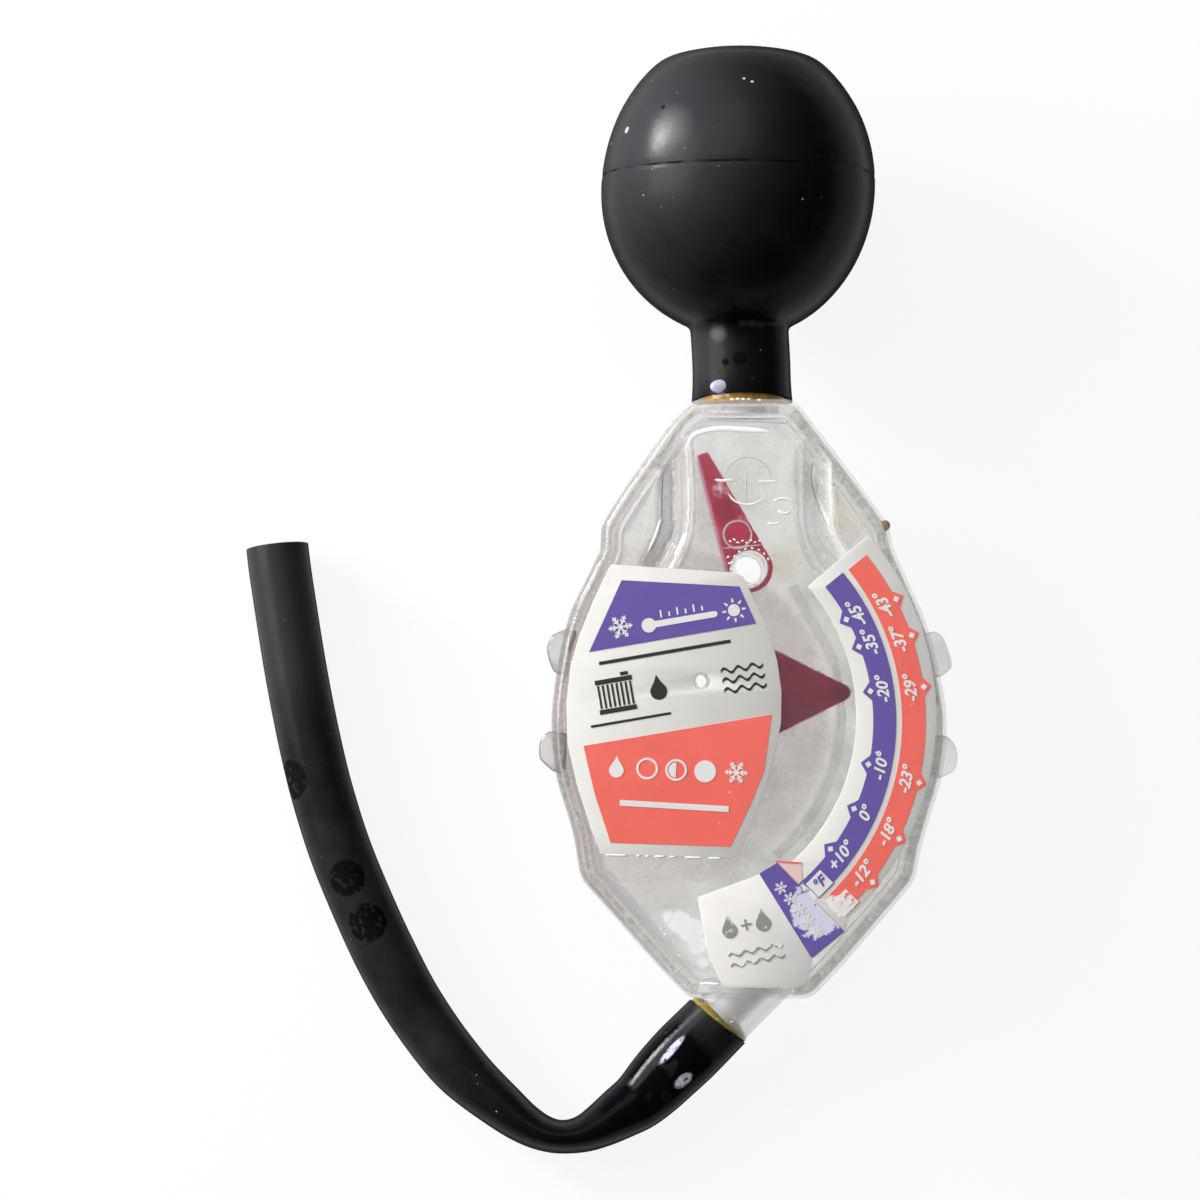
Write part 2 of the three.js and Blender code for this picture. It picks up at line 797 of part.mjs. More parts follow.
function hose() {
  const straight = [0, 0.5, 1].map((share) =>
    hoseOrigin.clone().addScaledVector(hoseDirection, share * hoseStraight),
  );
  const route = new THREE.CatmullRomCurve3([
    ...straight,
    ...hoseRoute.map((p) => new THREE.Vector3(...p)),
  ]);
  const section = new THREE.Shape().absarc(0, 0, hoseRadius, 0, 360 * degree, false);
  section.holes.push(new THREE.Path().absarc(0, 0, hoseBoreRadius, 0, 360 * degree, true));
  return new THREE.ExtrudeGeometry(section, {
    steps: hoseSteps,
    curveSegments: hoseSectionArc,
    extrudePath: route,
  });
}

const suctionHose = mesh("suction_hose", toSolid(hose()), blackRubber);
const part = new THREE.Group();
part.add(tester, suctionHose);
part.position.set(-middle.x, -middle.y, -box.min.z);

export default part;
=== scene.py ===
"""The looks of the antifreeze tester: camera, light, hose, bulb, clear housing, dial and labels.

Shapes are laid out in millimetres in the tester's own frame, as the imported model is: x to the right of the
dial, y along the tester to the bulb, z out of the dial, zero at the middle of the parting plane.
"""
import json
import math
import random

import bmesh
import bpy
import numpy as np
from mathutils import Matrix, Vector


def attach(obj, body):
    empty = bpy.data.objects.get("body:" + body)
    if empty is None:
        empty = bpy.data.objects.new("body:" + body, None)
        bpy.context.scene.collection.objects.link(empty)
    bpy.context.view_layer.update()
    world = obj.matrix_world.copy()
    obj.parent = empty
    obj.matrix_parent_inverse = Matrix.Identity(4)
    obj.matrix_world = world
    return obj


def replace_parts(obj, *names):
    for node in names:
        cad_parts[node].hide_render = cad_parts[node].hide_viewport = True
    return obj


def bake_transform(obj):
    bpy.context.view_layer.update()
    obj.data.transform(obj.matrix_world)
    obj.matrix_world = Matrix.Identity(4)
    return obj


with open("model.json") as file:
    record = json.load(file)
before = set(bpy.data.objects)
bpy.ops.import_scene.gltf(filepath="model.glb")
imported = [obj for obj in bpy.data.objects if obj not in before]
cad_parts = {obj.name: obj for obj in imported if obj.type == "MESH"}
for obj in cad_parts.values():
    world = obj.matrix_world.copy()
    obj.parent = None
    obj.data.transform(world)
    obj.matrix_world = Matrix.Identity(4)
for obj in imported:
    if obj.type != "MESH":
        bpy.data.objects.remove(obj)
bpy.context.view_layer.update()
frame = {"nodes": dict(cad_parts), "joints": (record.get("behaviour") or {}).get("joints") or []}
MM = 0.001

# The tester's own frame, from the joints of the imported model
JOINTS = {joint["name"]: joint for joint in frame["joints"]}
PIVOT = Vector((-15.5, -3.05, 0))
LEVEL = Vector((0.3, 22.6, 0))
OUT = Vector(JOINTS["pointer_swing"]["axis"]).normalized()
ALONG = -Vector(JOINTS["bulb_squeeze"]["axis"]).normalized()
RIGHT = ALONG.cross(OUT)
TURN = Matrix((RIGHT, ALONG, OUT)).transposed()
ORIGIN = Vector(JOINTS["pointer_swing"]["pos_m"]) - TURN @ (PIVOT * MM)
TESTER = Matrix.Translation(ORIGIN) @ TURN.to_4x4() @ Matrix.Scale(MM, 4)
TO_TESTER = TESTER.inverted()

# Housing
HALF_WIDTH = 34.3
HALF_LENGTH = 51.9
FRONT_DEPTH = 10
BACK_DEPTH = 12
WALL = 1.8
FLANGE_WALL = 2.4
HALF_GAP = 0.15
FRONT_EDGE = (1.8, 2.2)
BACK_EDGE = (3, 3.6)
INNER_ROUNDING = 0.8
FACE_RINGS = 64
EDGE_RINGS = 7
SHOULDER_SHARES = [(0.257, 1), (0.335, 0.931), (0.469, 0.813), (0.595, 0.699), (0.732, 0.568)]
FLANK_SHARES = [
    (0.735, 0.511), (0.822, 0.38), (0.913, 0.233), (0.985, 0.028),
    (1, -0.11), (0.974, -0.262), (0.907, -0.405), (0.851, -0.538),
]
FOOT_SHARES = [(0.843, -0.599), (0.767, -0.661), (0.478, -0.882), (0.31, -1)]
GROOVE_SHARES = [(1.02, 0.84), (1, 0.73), (1, 0.64), (1.05, 0.54), (1.27, 0.44)]
GROOVE_HALF_SPAN = 12.3
GROOVE_HALF_WIDTH = 2.7
GROOVE_DEPTH = 2.6

# How much wider the housing's left side is than its right: height, then width
LEFT_SWELL = [
    (-35, 0), (-29, 0.7), (-24, 0.1), (-10, -0.1), (0, -0.2), (10, 0.2), (16, 0.45), (22, 0), (26, -0.3),
    (29, 0.3), (31, 0.5), (36, 0.7), (41, 0.7), (47, 1.3), (50, 0.9), (52, 0),
]

# Ribs, posts and bosses inside the housing
RIB_WIDTH = 1.4
RIB_EDGE = 0.25
FLOOR = -(BACK_DEPTH - WALL) - 0.2
FUNNEL_HALF_SPAN = 10.2
WELL_RADIUS = 32.2
WELL_RIB_SPAN = (-50, 20)
WELL_RIB_TAIL = (13.5, math.radians(119))
WELL_RIB_TOP = -1.9
LEVEL_POST = (3.06, 2.54)
STOP = Vector((-8, 3, 0))
STOP_POST = (1.77, 1.17)
STOP_HOLE = 1.47
PIVOT_BOSS = (3.2, 1.55)
PIVOT_BOSS_GAP = 1.9
LEVEL_BOSS = (4, 3.36)
LEVEL_BOSS_GAP = 1.6
LUG_DEPTH = 4
LUG_EDGE = 0.5

# Neck and bulb
STUB_RADIUS = 6.2
STUB_BORE = 4
STUB_LENGTH = 10
NECK_END = 53.4
NECK_RADIUS = 8.6
NECK_LENGTH = 11.5
BULB_RADIUS = 24
BULB_UPPER = 27.6
BULB_LOWER = 26.085
BULB_TOP_RADIUS = 13.5
BULB_TOP_DOME = 2
BULB_WALL = 2.6
BULB_SIDES = 128
SEAM_HEIGHT = 91.4
SEAM_HALF = 0.3
SEAM_DEPTH = 0.12
TOP_ROUNDING = 104
END_DROP = 1.6
END_RISE = 1.25
END_REACH = 5
FLARE = 0.25
FLARE_REACH = 4

# Spigot, hose and cement
SPIGOT_RADIUS = 5.6
SPIGOT_BORE = 2
SPIGOT_END = Vector((-5.1, -56.6, -3))
SPIGOT_ANGLE = math.radians(225)
SPIGOT_TOP = 13.5
BARB_RADIUS = 3.1
BARB_LENGTH = 10
CEMENT_WIDTH = 1.7
HOSE_DIAMETER = 11.1
HOSE_BORE = 3.4
HOSE_LEAST = 0.45
HOSE_STRAIGHT = 12
HOSE_SIDES = 40
HOSE_SPACING = 0.9
HOSE_END_TILT = math.radians(6.5)  # its end at the spigot isn't cut square
HOUSING_SHIFT = -23.955  # the route's points are from the point under the middle of the housing
SEAM_GAP = 8
DROP = Vector((24.1, 30.2, 0.9))
DROP_RADIUS = 0.95
DROP_TIP = 0.01

# The hose's route in the row's frame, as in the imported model
HOSE_ROUTE = [
    (-18.4, -69.5, 6.9), (-22, -72, 7), (-25.5, -74.2, 7.1), (-28.4, -75.6, 7.1), (-31.3, -76.2, 7.1),
    (-34.3, -76, 7.1), (-37.8, -74.6, 6.8), (-42.2, -71.5, 6.4), (-50.5, -64.1, 5.9), (-58, -54.2, 5.6),
    (-63.5, -44.5, 5.6), (-68.4, -33.9, 5.6), (-72, -25, 5.6), (-75, -15.5, 5.6), (-77, -7.5, 5.6),
    (-78.7, 0.5, 5.6), (-80.2, 8.5, 5.6), (-81.6, 17, 5.6), (-82.7, 24, 5.6), (-83.2, 28, 5.6),
]

# Distance along the hose, then its width and its height there: stretched over the barb, pinched in the bend
HOSE_SECTIONS = [
    (0, 12.2, 12.2), (8, 12.5, 12.2), (15, 11.7, 11.6), (19, 10.6, 11.9), (23.3, 9.4, 12.6),
    (27.5, 7.9, 13.4), (30.6, 6.6, 14), (33.7, 5.7, 14.2), (36.5, 5.9, 14.2), (40, 6.7, 13.9),
    (46, 8.2, 13.2), (57, 10.2, 12), (70, 10.7, 11.4), (80, 11.1, 11.2), (157, 11.1, 11.1),
]

# The photographed tester leans to the left of its own line towards the bulb: height, then shift
LEAN = [
    (-50, 0.25), (-7, 0), (22, -0.3), (36, -0.55), (50, -0.78), (60, -0.95), (68, -1.6), (73, -1.75),
    (84, -1.68), (91, -1.47), (98, -1.3), (114, -1.28),
]

# The lugs' outlines, each from inside the housing's edge and round
LUGS = {
    "left_upper": [
        (-29.6, 11.6), (-30.8, 12.5), (-34.2, 11), (-35.1, 8.7), (-34.6, 6.4), (-33.8, 4.5), (-32, 3.8),
    ],
    "left_lower": [
        (-31.5, -6.1), (-34.9, -5.7), (-36.3, -7.6), (-36.4, -9.2), (-36.3, -10.6), (-33.8, -12.9),
        (-31.6, -13.1),
    ],
    "right_upper": [
        (29.8, 10.2), (31.2, 11.3), (32.5, 11.8), (33.6, 11.3), (34.4, 10.1), (35.1, 8.1), (35.7, 6.1),
        (35.6, 5.1), (34.7, 4.5), (33.9, 3.8), (32, 3.4),
    ],
    "right_lower": [
        (31.8, -6.4), (33.5, -6.4), (34.8, -6.5), (35.8, -7.5), (36.5, -8.8), (36.6, -10.5), (36.3, -12.2),
        (35.6, -13), (34.3, -13.5), (33.3, -14.1), (31.5, -13.8),
    ],
}

# Labels: their levels, outlines and fields
LABEL_LEVEL = 10.03
LABEL_THICK = 0.2
LABEL_EDGE = 0.05
INK_THICK = 0.04
STEP = 0.05
FIRST = LABEL_LEVEL + LABEL_THICK + 0.01
SECOND = FIRST + STEP
THIRD = SECOND + STEP
NAME_LABEL = [
    (-23.8, 23.1), (-2.3, 21.7), (-0.9, 20.9), (1.2, 16.4), (3.7, 10.8), (4.9, 6.3), (5.6, 1.3), (5.5, -4.3),
    (4.4, -9.6), (3.0, -14.9), (1.2, -19.8), (-1.6, -26.5), (-3.0, -27.5), (-25.6, -26.8), (-27.3, -22.5),
    (-29.7, -14.9), (-31.3, -7.9), (-31.5, -0.8), (-30.8, 5.6), (-29.3, 10.8), (-26.9, 16.8), (-24.2, 22.5),
]
NAME_PURPLE = [(-22.0, 20.4), (-1.7, 19.3), (1.2, 12.9), (-27.6, 8.0)]
NAME_CORAL = [
    (-28.6, -8.2), (3.9, -2.8), (2.6, -12.4), (0.5, -17.7), (-3.2, -25.6), (-23.9, -24.9), (-26.6, -16.7),
]
NAME_BAR = [(-22.3, -17.5), (-3.5, -18.6), (-3.55, -19.6), (-22.35, -18.5)]
NAME_SLANT = 9.7
MIX_SLANT = -2.7
SCALE_RADII = (34, 47.8)
SCALE_ANGLES = (41, -47)
SCALE_FOOT = [(16.4, -40.3), (10.9, -44.9), (4.3, -28.4)]
TAB = [
    (-8.9, -34.3), (1.5, -30.5), (4.2, -28.6), (10.8, -44.8), (10.4, -48.0), (9.6, -49.3), (8.0, -49.9),
    (-4.0, -49.8), (-4.8, -49.2), (-6.9, -44.7),
]
TAB_SLANT = 12
TAB_SUNK = 0.03
PRINT_CENTRE = PIVOT + Vector((0.15, -0.95, 0))
PURPLE_BAND = (36.75, 40.7)
PURPLE_SPAN = (39.2, -50)
CORAL_BAND = (41.7, 45.8)
CORAL_SPAN = (38.9, -47.6)
FAHRENHEIT = [("-45", 28.7), ("-35", 20.6), ("-20", 8.2), ("-10", -11.6), ("0", -24.2), ("+10", -36.8)]
CELSIUS = [("-43", 27.4), ("-37", 18.9), ("-29", 7.5), ("-23", -13.3), ("-18", -26.1), ("-12", -37.1)]
DIAMOND = [(0.6, 0), (0, 0.6), (-0.6, 0), (0, -0.6)]
PEAK_REACH = 1.45
PEAK_HALF = 1.65
NUMERAL_SIZE = 2.75
NUMERAL_SLANT = 0.22
NUMERAL_BOLDNESS = 0.03
UNIT_SIZE = 2.5
UNIT_TURN = 45
LOWER_STRIP = [(1.7, -30.2), (4.8, -28.3), (16.3, -40.1), (10.7, -44.7)]
STRIP_START = Vector((4.2, -31.2))
STRIP_END = Vector((12.9, -41.6))
PINK_FIELD = [(4.6, -28.1), (9.0, -28.4), (9.2, -32.6), (6.8, -30.6)]

# Beads on the face along moulded lines and glints, white or pale as painted highlights, or grey as painted
# shade lines: name, points, width, height
BRIGHT_LINES = {
    "arch": ([(-10.5, 43.4), (-9.8, 45.2), (-7.7, 46.2), (-4.5, 46.6), (-0.6, 46.4), (3.6, 46.1)], 0.9, 0.1),
    "glint_outer": ([(-14.9, 31.1), (-15.5, 29.3), (-16.3, 27.2), (-17.2, 25.3)], 0.85, 0.14),
    "glint_middle": ([(-12.9, 31), (-13.3, 29.2), (-13.9, 27.2)], 0.65, 0.12),
    "glint_inner": ([(-10.9, 28.6), (-11.6, 26.9), (-12.8, 24.7)], 0.7, 0.12),
    "glint_right": ([(11.9, 35.4), (12.7, 32.8), (13.9, 30)], 0.4, 0.08),
    "foot": ([(-8.6, -49.1), (-5, -49.3)], 0.5, 0.1),
}
SOFT_LINES = {
    "ring_low": ([(-3.6, 35.4), (-2.6, 34.2), (-0.9, 33.5), (0.9, 33.6), (2.4, 34.4)], 0.35, 0.08),
    "tick_left": ([(-5.9, 37.8), (-4.8, 37.6), (-3.5, 37.7), (-2.4, 37.6)], 0.5, 0.08),
    "tick_right": ([(1.5, 37.6), (2.6, 37.4), (3.9, 37.5), (5, 37.3)], 0.4, 0.08),
    "blob_top": ([(4.2, 34.1), (5.4, 34.5), (6.8, 34.4), (7.8, 33.7)], 0.4, 0.08),
    "blob_low": ([(7.2, 32.2), (6.2, 31.9), (5, 32.4)], 0.5, 0.08),
    "blob_dash": ([(3.2, 30.3), (4.4, 30.1), (5.6, 30.4)], 0.35, 0.08),
}
FAINT_LINES = {
    "ring_high": (
        [(-4.3, 37.4), (-3.8, 39.4), (-2.2, 41.1), (-0.2, 41.6), (1.8, 41.1), (3.4, 39.5), (3.9, 37.3)],
        0.2, 0.04,
    ),
    "upright": ([(-0.5, 39.2), (-0.5, 36.5), (-0.5, 33.2)], 0.2, 0.05),
    "level_line": ([(-4.7, 25.9), (-1, 26.2), (2.2, 26.5)], 0.18, 0.04),
    "far_arch": ([(-4.9, 48), (0.8, 47.9), (6.8, 47.5)], 0.3, 0.06),
    "right_line": (
        [(11.2, 41.2), (10.9, 38.6), (11.3, 35.9), (12.8, 31.6), (15, 27.2), (16.3, 25)], 0.24, 0.05,
    ),
    "left_line": ([(-14.8, 39.2), (-15, 35), (-15, 30.9)], 0.2, 0.04),
}
DASHES = [
    (-3.2, 27.1), (-2.5, 27.4), (-1.9, 26.9), (-1.1, 27.2), (-0.4, 26.9), (0.4, 27.3), (1.1, 27), (1.9, 27.2),
    (-3.6, 24.4), (-3.3, 23.3), (-15.1, -39.7), (-14.4, -40.7), (-13.1, -42.2), (-12.1, -44.2),
]

# Glints under the left label's lower edge, each from one x to another
EDGE_GLINTS = [
    (-24.9, -20.8), (-19.6, -18.6), (-18.1, -16.9), (-16.4, -14.4), (-13.9, -12.5), (-11.2, -8), (-7.1, -4.6),
]
EDGE_GLINT_START = (-25.6, -26.95)
EDGE_GLINT_FALL = 0.031
EDGE_GLINT_SIZE = (0.4, 0.3)
DASH_SIZE = (0.34, 0.12)
HUB_GLINTS = 9
HUB_GLINT_RADIUS = 3.35
HUB_GLINT_START = 25
HUB_GLINT_TURN = 20
HUB_GLINT_REACH = 0.28
HUB_GLINT_SIZE = (0.36, 0.12)

# Painted glints, and the wet drop coloured as its painted highlight: places, half sizes and, for the glints,
# their height over the parting plane
CEMENT_GLINTS = [(-2.8, 51.8), (-1.8, 51.85), (-0.9, 51.85), (0, 51.8), (1.9, 51.7)]
CEMENT_GLINT_SIZE = (0.45, 0.2, 0.15)
CEMENT_GLINT_HEIGHT = 8.2
SPIGOT_GLINTS = [(-1.15, -54.2), (-1.9, -54.9), (-2.3, -55.6), (-2.8, -56.3)]
SPIGOT_GLINT_SIZE = (0.42, 0.2, 0.15)
SPIGOT_GLINT_HEIGHT = 2.35
NECK_DROP = (-4.55, 54.05)
NECK_DROP_SIZE = (2.1, 1.25, 0.6)
NECK_DROP_SUNK = Vector((0, 0, 0.15))

# Colours
BLACK = (0.001, 0.001, 0.001)
BULB_TONES = ((0.003, 0.003, 0.0032), (0.007, 0.007, 0.0074))
HOSE_TONES = ((0.009, 0.0093, 0.0093), (0.017, 0.0175, 0.0175))
SMEAR = (0.03, 0.031, 0.032)
DUST = (0.4, 0.4, 0.38)
CLEAR = (0.95, 0.95, 0.945)
TINTED = (0.88, 0.87, 0.865)
HAZE = (0.93, 0.92, 0.905)
WELL = (0.87, 0.81, 0.795)
WELL_PALE = (0.96, 0.93, 0.91)
PINKISH = (0.93, 0.82, 0.81)
WALL_TONE = (0.92, 0.91, 0.89)
LEFT_WALL_SHADE = (0.2, 0.18, 0.178)
GREYISH = (0.68, 0.68, 0.66)
YELLOWISH = (0.97, 0.94, 0.8)
CEMENT = (0.8, 0.78, 0.72)
AMBER = (0.42, 0.22, 0.03)
OLIVE = (0.46, 0.34, 0.07)
MAROON = (0.33, 0.006, 0.05)
CRIMSON = (0.5, 0.016, 0.07)
EDGE_HIGHLIGHT_PINK = (0.72, 0.33, 0.4)
FROST = (0.66, 0.5, 0.52)
PAPER = (0.74, 0.725, 0.69)
TAB_PAPER = (0.8, 0.78, 0.76)
BARE = (0.83, 0.82, 0.83)
CHIPPED = (0.8, 0.8, 0.79)
PURPLE = (0.144, 0.098, 0.376)
LAVENDER = (0.68, 0.66, 0.8)
CORAL = (0.91, 0.162, 0.127)
PINK = (0.85, 0.6, 0.56)
FADED = (0.3, 0.3, 0.27)
INK = (0.03, 0.03, 0.03)
WHITE_INK = (0.8, 0.79, 0.78)
GLINT = (1, 1, 1)
SOFT_GLINT = (0.88, 0.88, 0.87)
SHADE_LINE = (0.55, 0.55, 0.54)
WET_DROP_HIGHLIGHT = (0.4, 0.4, 0.5)
STEEL = (0.6, 0.6, 0.61)
BRASS = (0.69, 0.5, 0.2)

# Coats of the rubber: colour and roughness
DUSTY = (DUST, 0.9)
WET = ((0.002, 0.002, 0.003), 0.08)
CRACK = (BLACK, 0.7)

# Dust on the rubber: spacing, radius and share of the places that hold a speck
DUST_SPECKS = [(3.2, 0.16, 0.4), (6.5, 0.25, 0.4), (1.7, 0.09, 0.4)]

# Marks on the rubber: place, radius, colour, roughness and raggedness
HOSE_MARKS = [
    ((-80.2, -14.4, -6.0), 3.3, BLACK, 0.75, 0.7),
    ((-70.1, -31.5, -2.4), 3.0, BLACK, 0.75, 0.7),
    ((-66.5, -39.3, -1.8), 3.2, BLACK, 0.75, 0.75),
]
BULB_MARKS = [
    (-21.1, 98.2, 0.55, (0.3, 0.29, 0.24), 0.8, 0),
    (-14.9, 101.4, 0.4, BLACK, 0.6, 0),
    (-1.5, 58.9, 1.15, BLACK, 0.7, 0.6),
    (-3.95, 58.3, 0.6, BLACK, 0.7, 0.4),
    (-1.1, 106, 0.24, *DUSTY, 0),
    (0.3, 105.4, 0.26, *DUSTY, 0),
]

# Painted light and shade on the rubber, pale places for painted highlights and lit sides, dark ones for
# painted shade: place, radius, softness and colour
BULB_PAINTED_LIGHT = [
    (-14.5, 96.5, 3, 27, (0.027, 0.027, 0.03)),
    (-13.8, 97.5, 0.5, 5, (0.075, 0.075, 0.08)),
    (-7, 59.5, 2, 6, (0.022, 0.022, 0.023)),
    (-5.3, 63.4, 0.5, 1.7, (0.07, 0.07, 0.08)),
    (-1, 65.1, 0.1, 1.2, (0.03, 0.03, 0.035)),
    (0.6, 65.1, 0.1, 1.2, (0.035, 0.035, 0.04)),
    (2.1, 64.9, 0.1, 1.2, (0.03, 0.03, 0.035)),
]
HOSE_PAINTED_SHADING = [
    ((-81, 17, -6), 8, 18, (0.025, 0.026, 0.026)), ((-32, -74, -2), 8, 16, (0.0035, 0.0035, 0.0038)),
]

# The wet part of the hose, and the painted reflections on it: place, half sizes, turn and colour
HOSE_WET = ((-16.5, -66.5, 0), 10, 2)
HOSE_GLINTS = [
    ((-13.2, -61.2, 2.4), 3.7, 0.8, 48, (0.5, 0.5, 0.62)),
    ((-11.2, -66.5, 2.3), 2.1, 1.3, 40, (0.8, 0.8, 0.9)),
]

# Stains on the back of the housing: place, radius, softness and colour
STAINS = [
    ((16.6, 38, -11), 3, 3, YELLOWISH),
    ((17.6, 33, -11), 3, 3, YELLOWISH),
    ((6.5, 23.9, -11), 1, 3.5, YELLOWISH),
    ((13, 39, -11), 1.5, 5, GREYISH),
]

# Painted white glare on the face, and frosted places and painted shade on the plastic inside: place, radius
# and softness
GLARE = [
    ((-14, -37.6, 10), 0.3, 2), ((-12, -38.6, 10), 1.2, 2.2), ((-10, -40, 10), 1.3, 2.4),
    ((-9, -42.4, 10), 0.9, 2.2), ((-8, -45.4, 10), 0.3, 1.8),
]
ARM_FROST = [((-4.6, 36.6, 0), 1.3, 1), ((-2.3, 33.6, 0), 0.6, 0.8), ((-0.7, 31.2, 0), 0.9, 0.9)]
ARM_SHADE = [((-3.7, 33.2, 0), 1.4, 1.8), ((-2.7, 30.5, 0), 1.2, 1.6)]
POINTER_SHADE = [((16.5, 0.9, 1), 0.6, 3)]

# Worn places of the inks, and the painted glare on the tab's ink: place, radius, softness and strength
BAND_WORN = [((9.6, -34.4, 10), 1.6, 2, 0.3)]
STRIP_WORN = [((11.6, -36.5, 10), 3.4, 2.6, 0.35)]
CORAL_WORN = [((15.3, -37.4, 10), 2.4, 2.6, 0.3)]
TAB_GLARE = [((0, -42, 10), 9, 2, 0.13)]

# The level arm's direction at rest, its left side, and how much it narrows along its length
ARM_ANGLE = math.radians(112.4)
ARM_WAY = (math.cos(ARM_ANGLE), math.sin(ARM_ANGLE), 0)
ARM_LEFT = (-math.sin(ARM_ANGLE), math.cos(ARM_ANGLE), 0)
LEVEL_HUB = 4.17
ARM_TAPER = 0.14

# Camera
VIEW_POINT = Vector((-25.725, 17.2, 0))
VIEW_DISTANCE = 745.5
VIEW_LEAN = math.radians(1.3)
FOCAL_PIXELS = 4260
HALF_PICTURE = 600

# Light and floor, in metres: each lamp's place, size and power
WORLD_LEVEL = 0.16
LAMPS = {
    "key": ((-0.85, 0.5, 0.24), 0.2, 13.5),
    "broad": ((-0.75, 0.25, 0.45), 0.6, 9.6),
    "fill": ((-0.15, 0.58, 0.85), 0.6, 2.2),
}
LAMP_TARGET = Vector((-0.02, 0, 0))
FLOOR_HALF = 2.5
FLOOR_DROP = 0.0002
FLOOR_WHITE = 0.9
FLOOR_TONE = (0.8, 0.8, 0.8)


# Lines of points
def smoothed(values, times):
    """The values, each softened by its neighbours, with both ends kept."""
    for _ in range(times):
        values[1:-1] = (values[:-2] + 2 * values[1:-1] + values[2:]) / 4
    return values


def softened(loop, times):
    """The closed loop, each point softened by its neighbours."""
    for _ in range(times):
        loop = (np.roll(loop, 1, axis=0) + 2 * loop + np.roll(loop, -1, axis=0)) / 4
    return loop


def leaned(points):
    """The points, shifted as the tester leans."""
    heights, shifts = (np.array(column, float) for column in zip(*LEAN))
    fine = np.arange(heights[0], heights[-1] + 1)
    soft = smoothed(np.interp(fine, heights, shifts), 20)
    points = np.array([tuple(p) for p in points], float)
    points[:, 0] += np.interp(points[:, 1], fine, soft)
    return points


def catmull(points, steps):
    """A smooth line through the points, with this many steps between each two."""
    spots = [np.array(p, float) for p in points]
    last = len(spots) - 1
    line = []
    for i in range(last):
        a, b, c, d = (spots[min(max(i + k, 0), last)] for k in (-1, 0, 1, 2))
        curve = 2 * a - 5 * b + 4 * c - d, 3 * b - a - 3 * c + d
        for t in np.arange(steps) / steps:
            line.append(0.5 * (2 * b + (c - a) * t + curve[0] * t**2 + curve[1] * t**3))
    return np.array([*line, spots[-1]])


def resampled(line, spacing, closed=False):
    """Points at even distances along a line."""
    line = np.array(line, float)
    if closed:
        line = np.vstack([line, line[:1]])
    lengths = np.linalg.norm(np.diff(line, axis=0), axis=1)
    along = np.concatenate([[0], np.cumsum(lengths)])
    count = max(2, round(along[-1] / spacing))
    at = np.linspace(0, along[-1], count + 1)
    if closed:
        at = at[:-1]
    return np.stack([np.interp(at, along, line[:, k]) for k in range(line.shape[1])], axis=1)


def sideways(along):
    """The unit vectors square to others, on their left."""
    along = along / np.linalg.norm(along, axis=1)[:, None]
    return np.stack([-along[:, 1], along[:, 0]], axis=1)


def shares(pairs, width, height, side=1):
    return [(side * a * width, b * height) for a, b in pairs]


def arc(centre, radius, start, end, steps):
    """Points on an arc, from one angle to another in degrees."""
    angles = np.radians(np.linspace(start, end, steps + 1))
    return [(centre[0] + radius * math.cos(a), centre[1] + radius * math.sin(a)) for a in angles]


def band(line, width):
    """The outline of a band along an open line."""
    line = np.array(line, float)
    across = sideways(np.gradient(line, axis=0)) * width / 2
    return [tuple(p) for p in [*(line + across), *(line - across)[::-1]]]


def rounded(loop):
    """The loop as close points, its corners softened."""
    return [tuple(p) for p in softened(resampled(loop, 0.4, closed=True), 3)]


# Nodes
def node(tree, kind, sockets=None, **settings):
    """A shader node with its settings, and its inputs linked or set."""
    made = tree.nodes.new(kind)
    for key, value in settings.items():
        setattr(made, key, value)
    for key, value in (sockets or {}).items():
        socket = made.inputs[key]
        if isinstance(value, bpy.types.NodeSocket):
            tree.links.new(value, socket)
        else:
            socket.default_value = (*value, 1) if socket.type == "RGBA" else value
    return made


def maths(tree, operation, first, second=0.0):
    return node(tree, "ShaderNodeMath", {0: first, 1: second}, operation=operation).outputs[0]


def dimmed(colour, share):
    return tuple(share * c for c in colour)


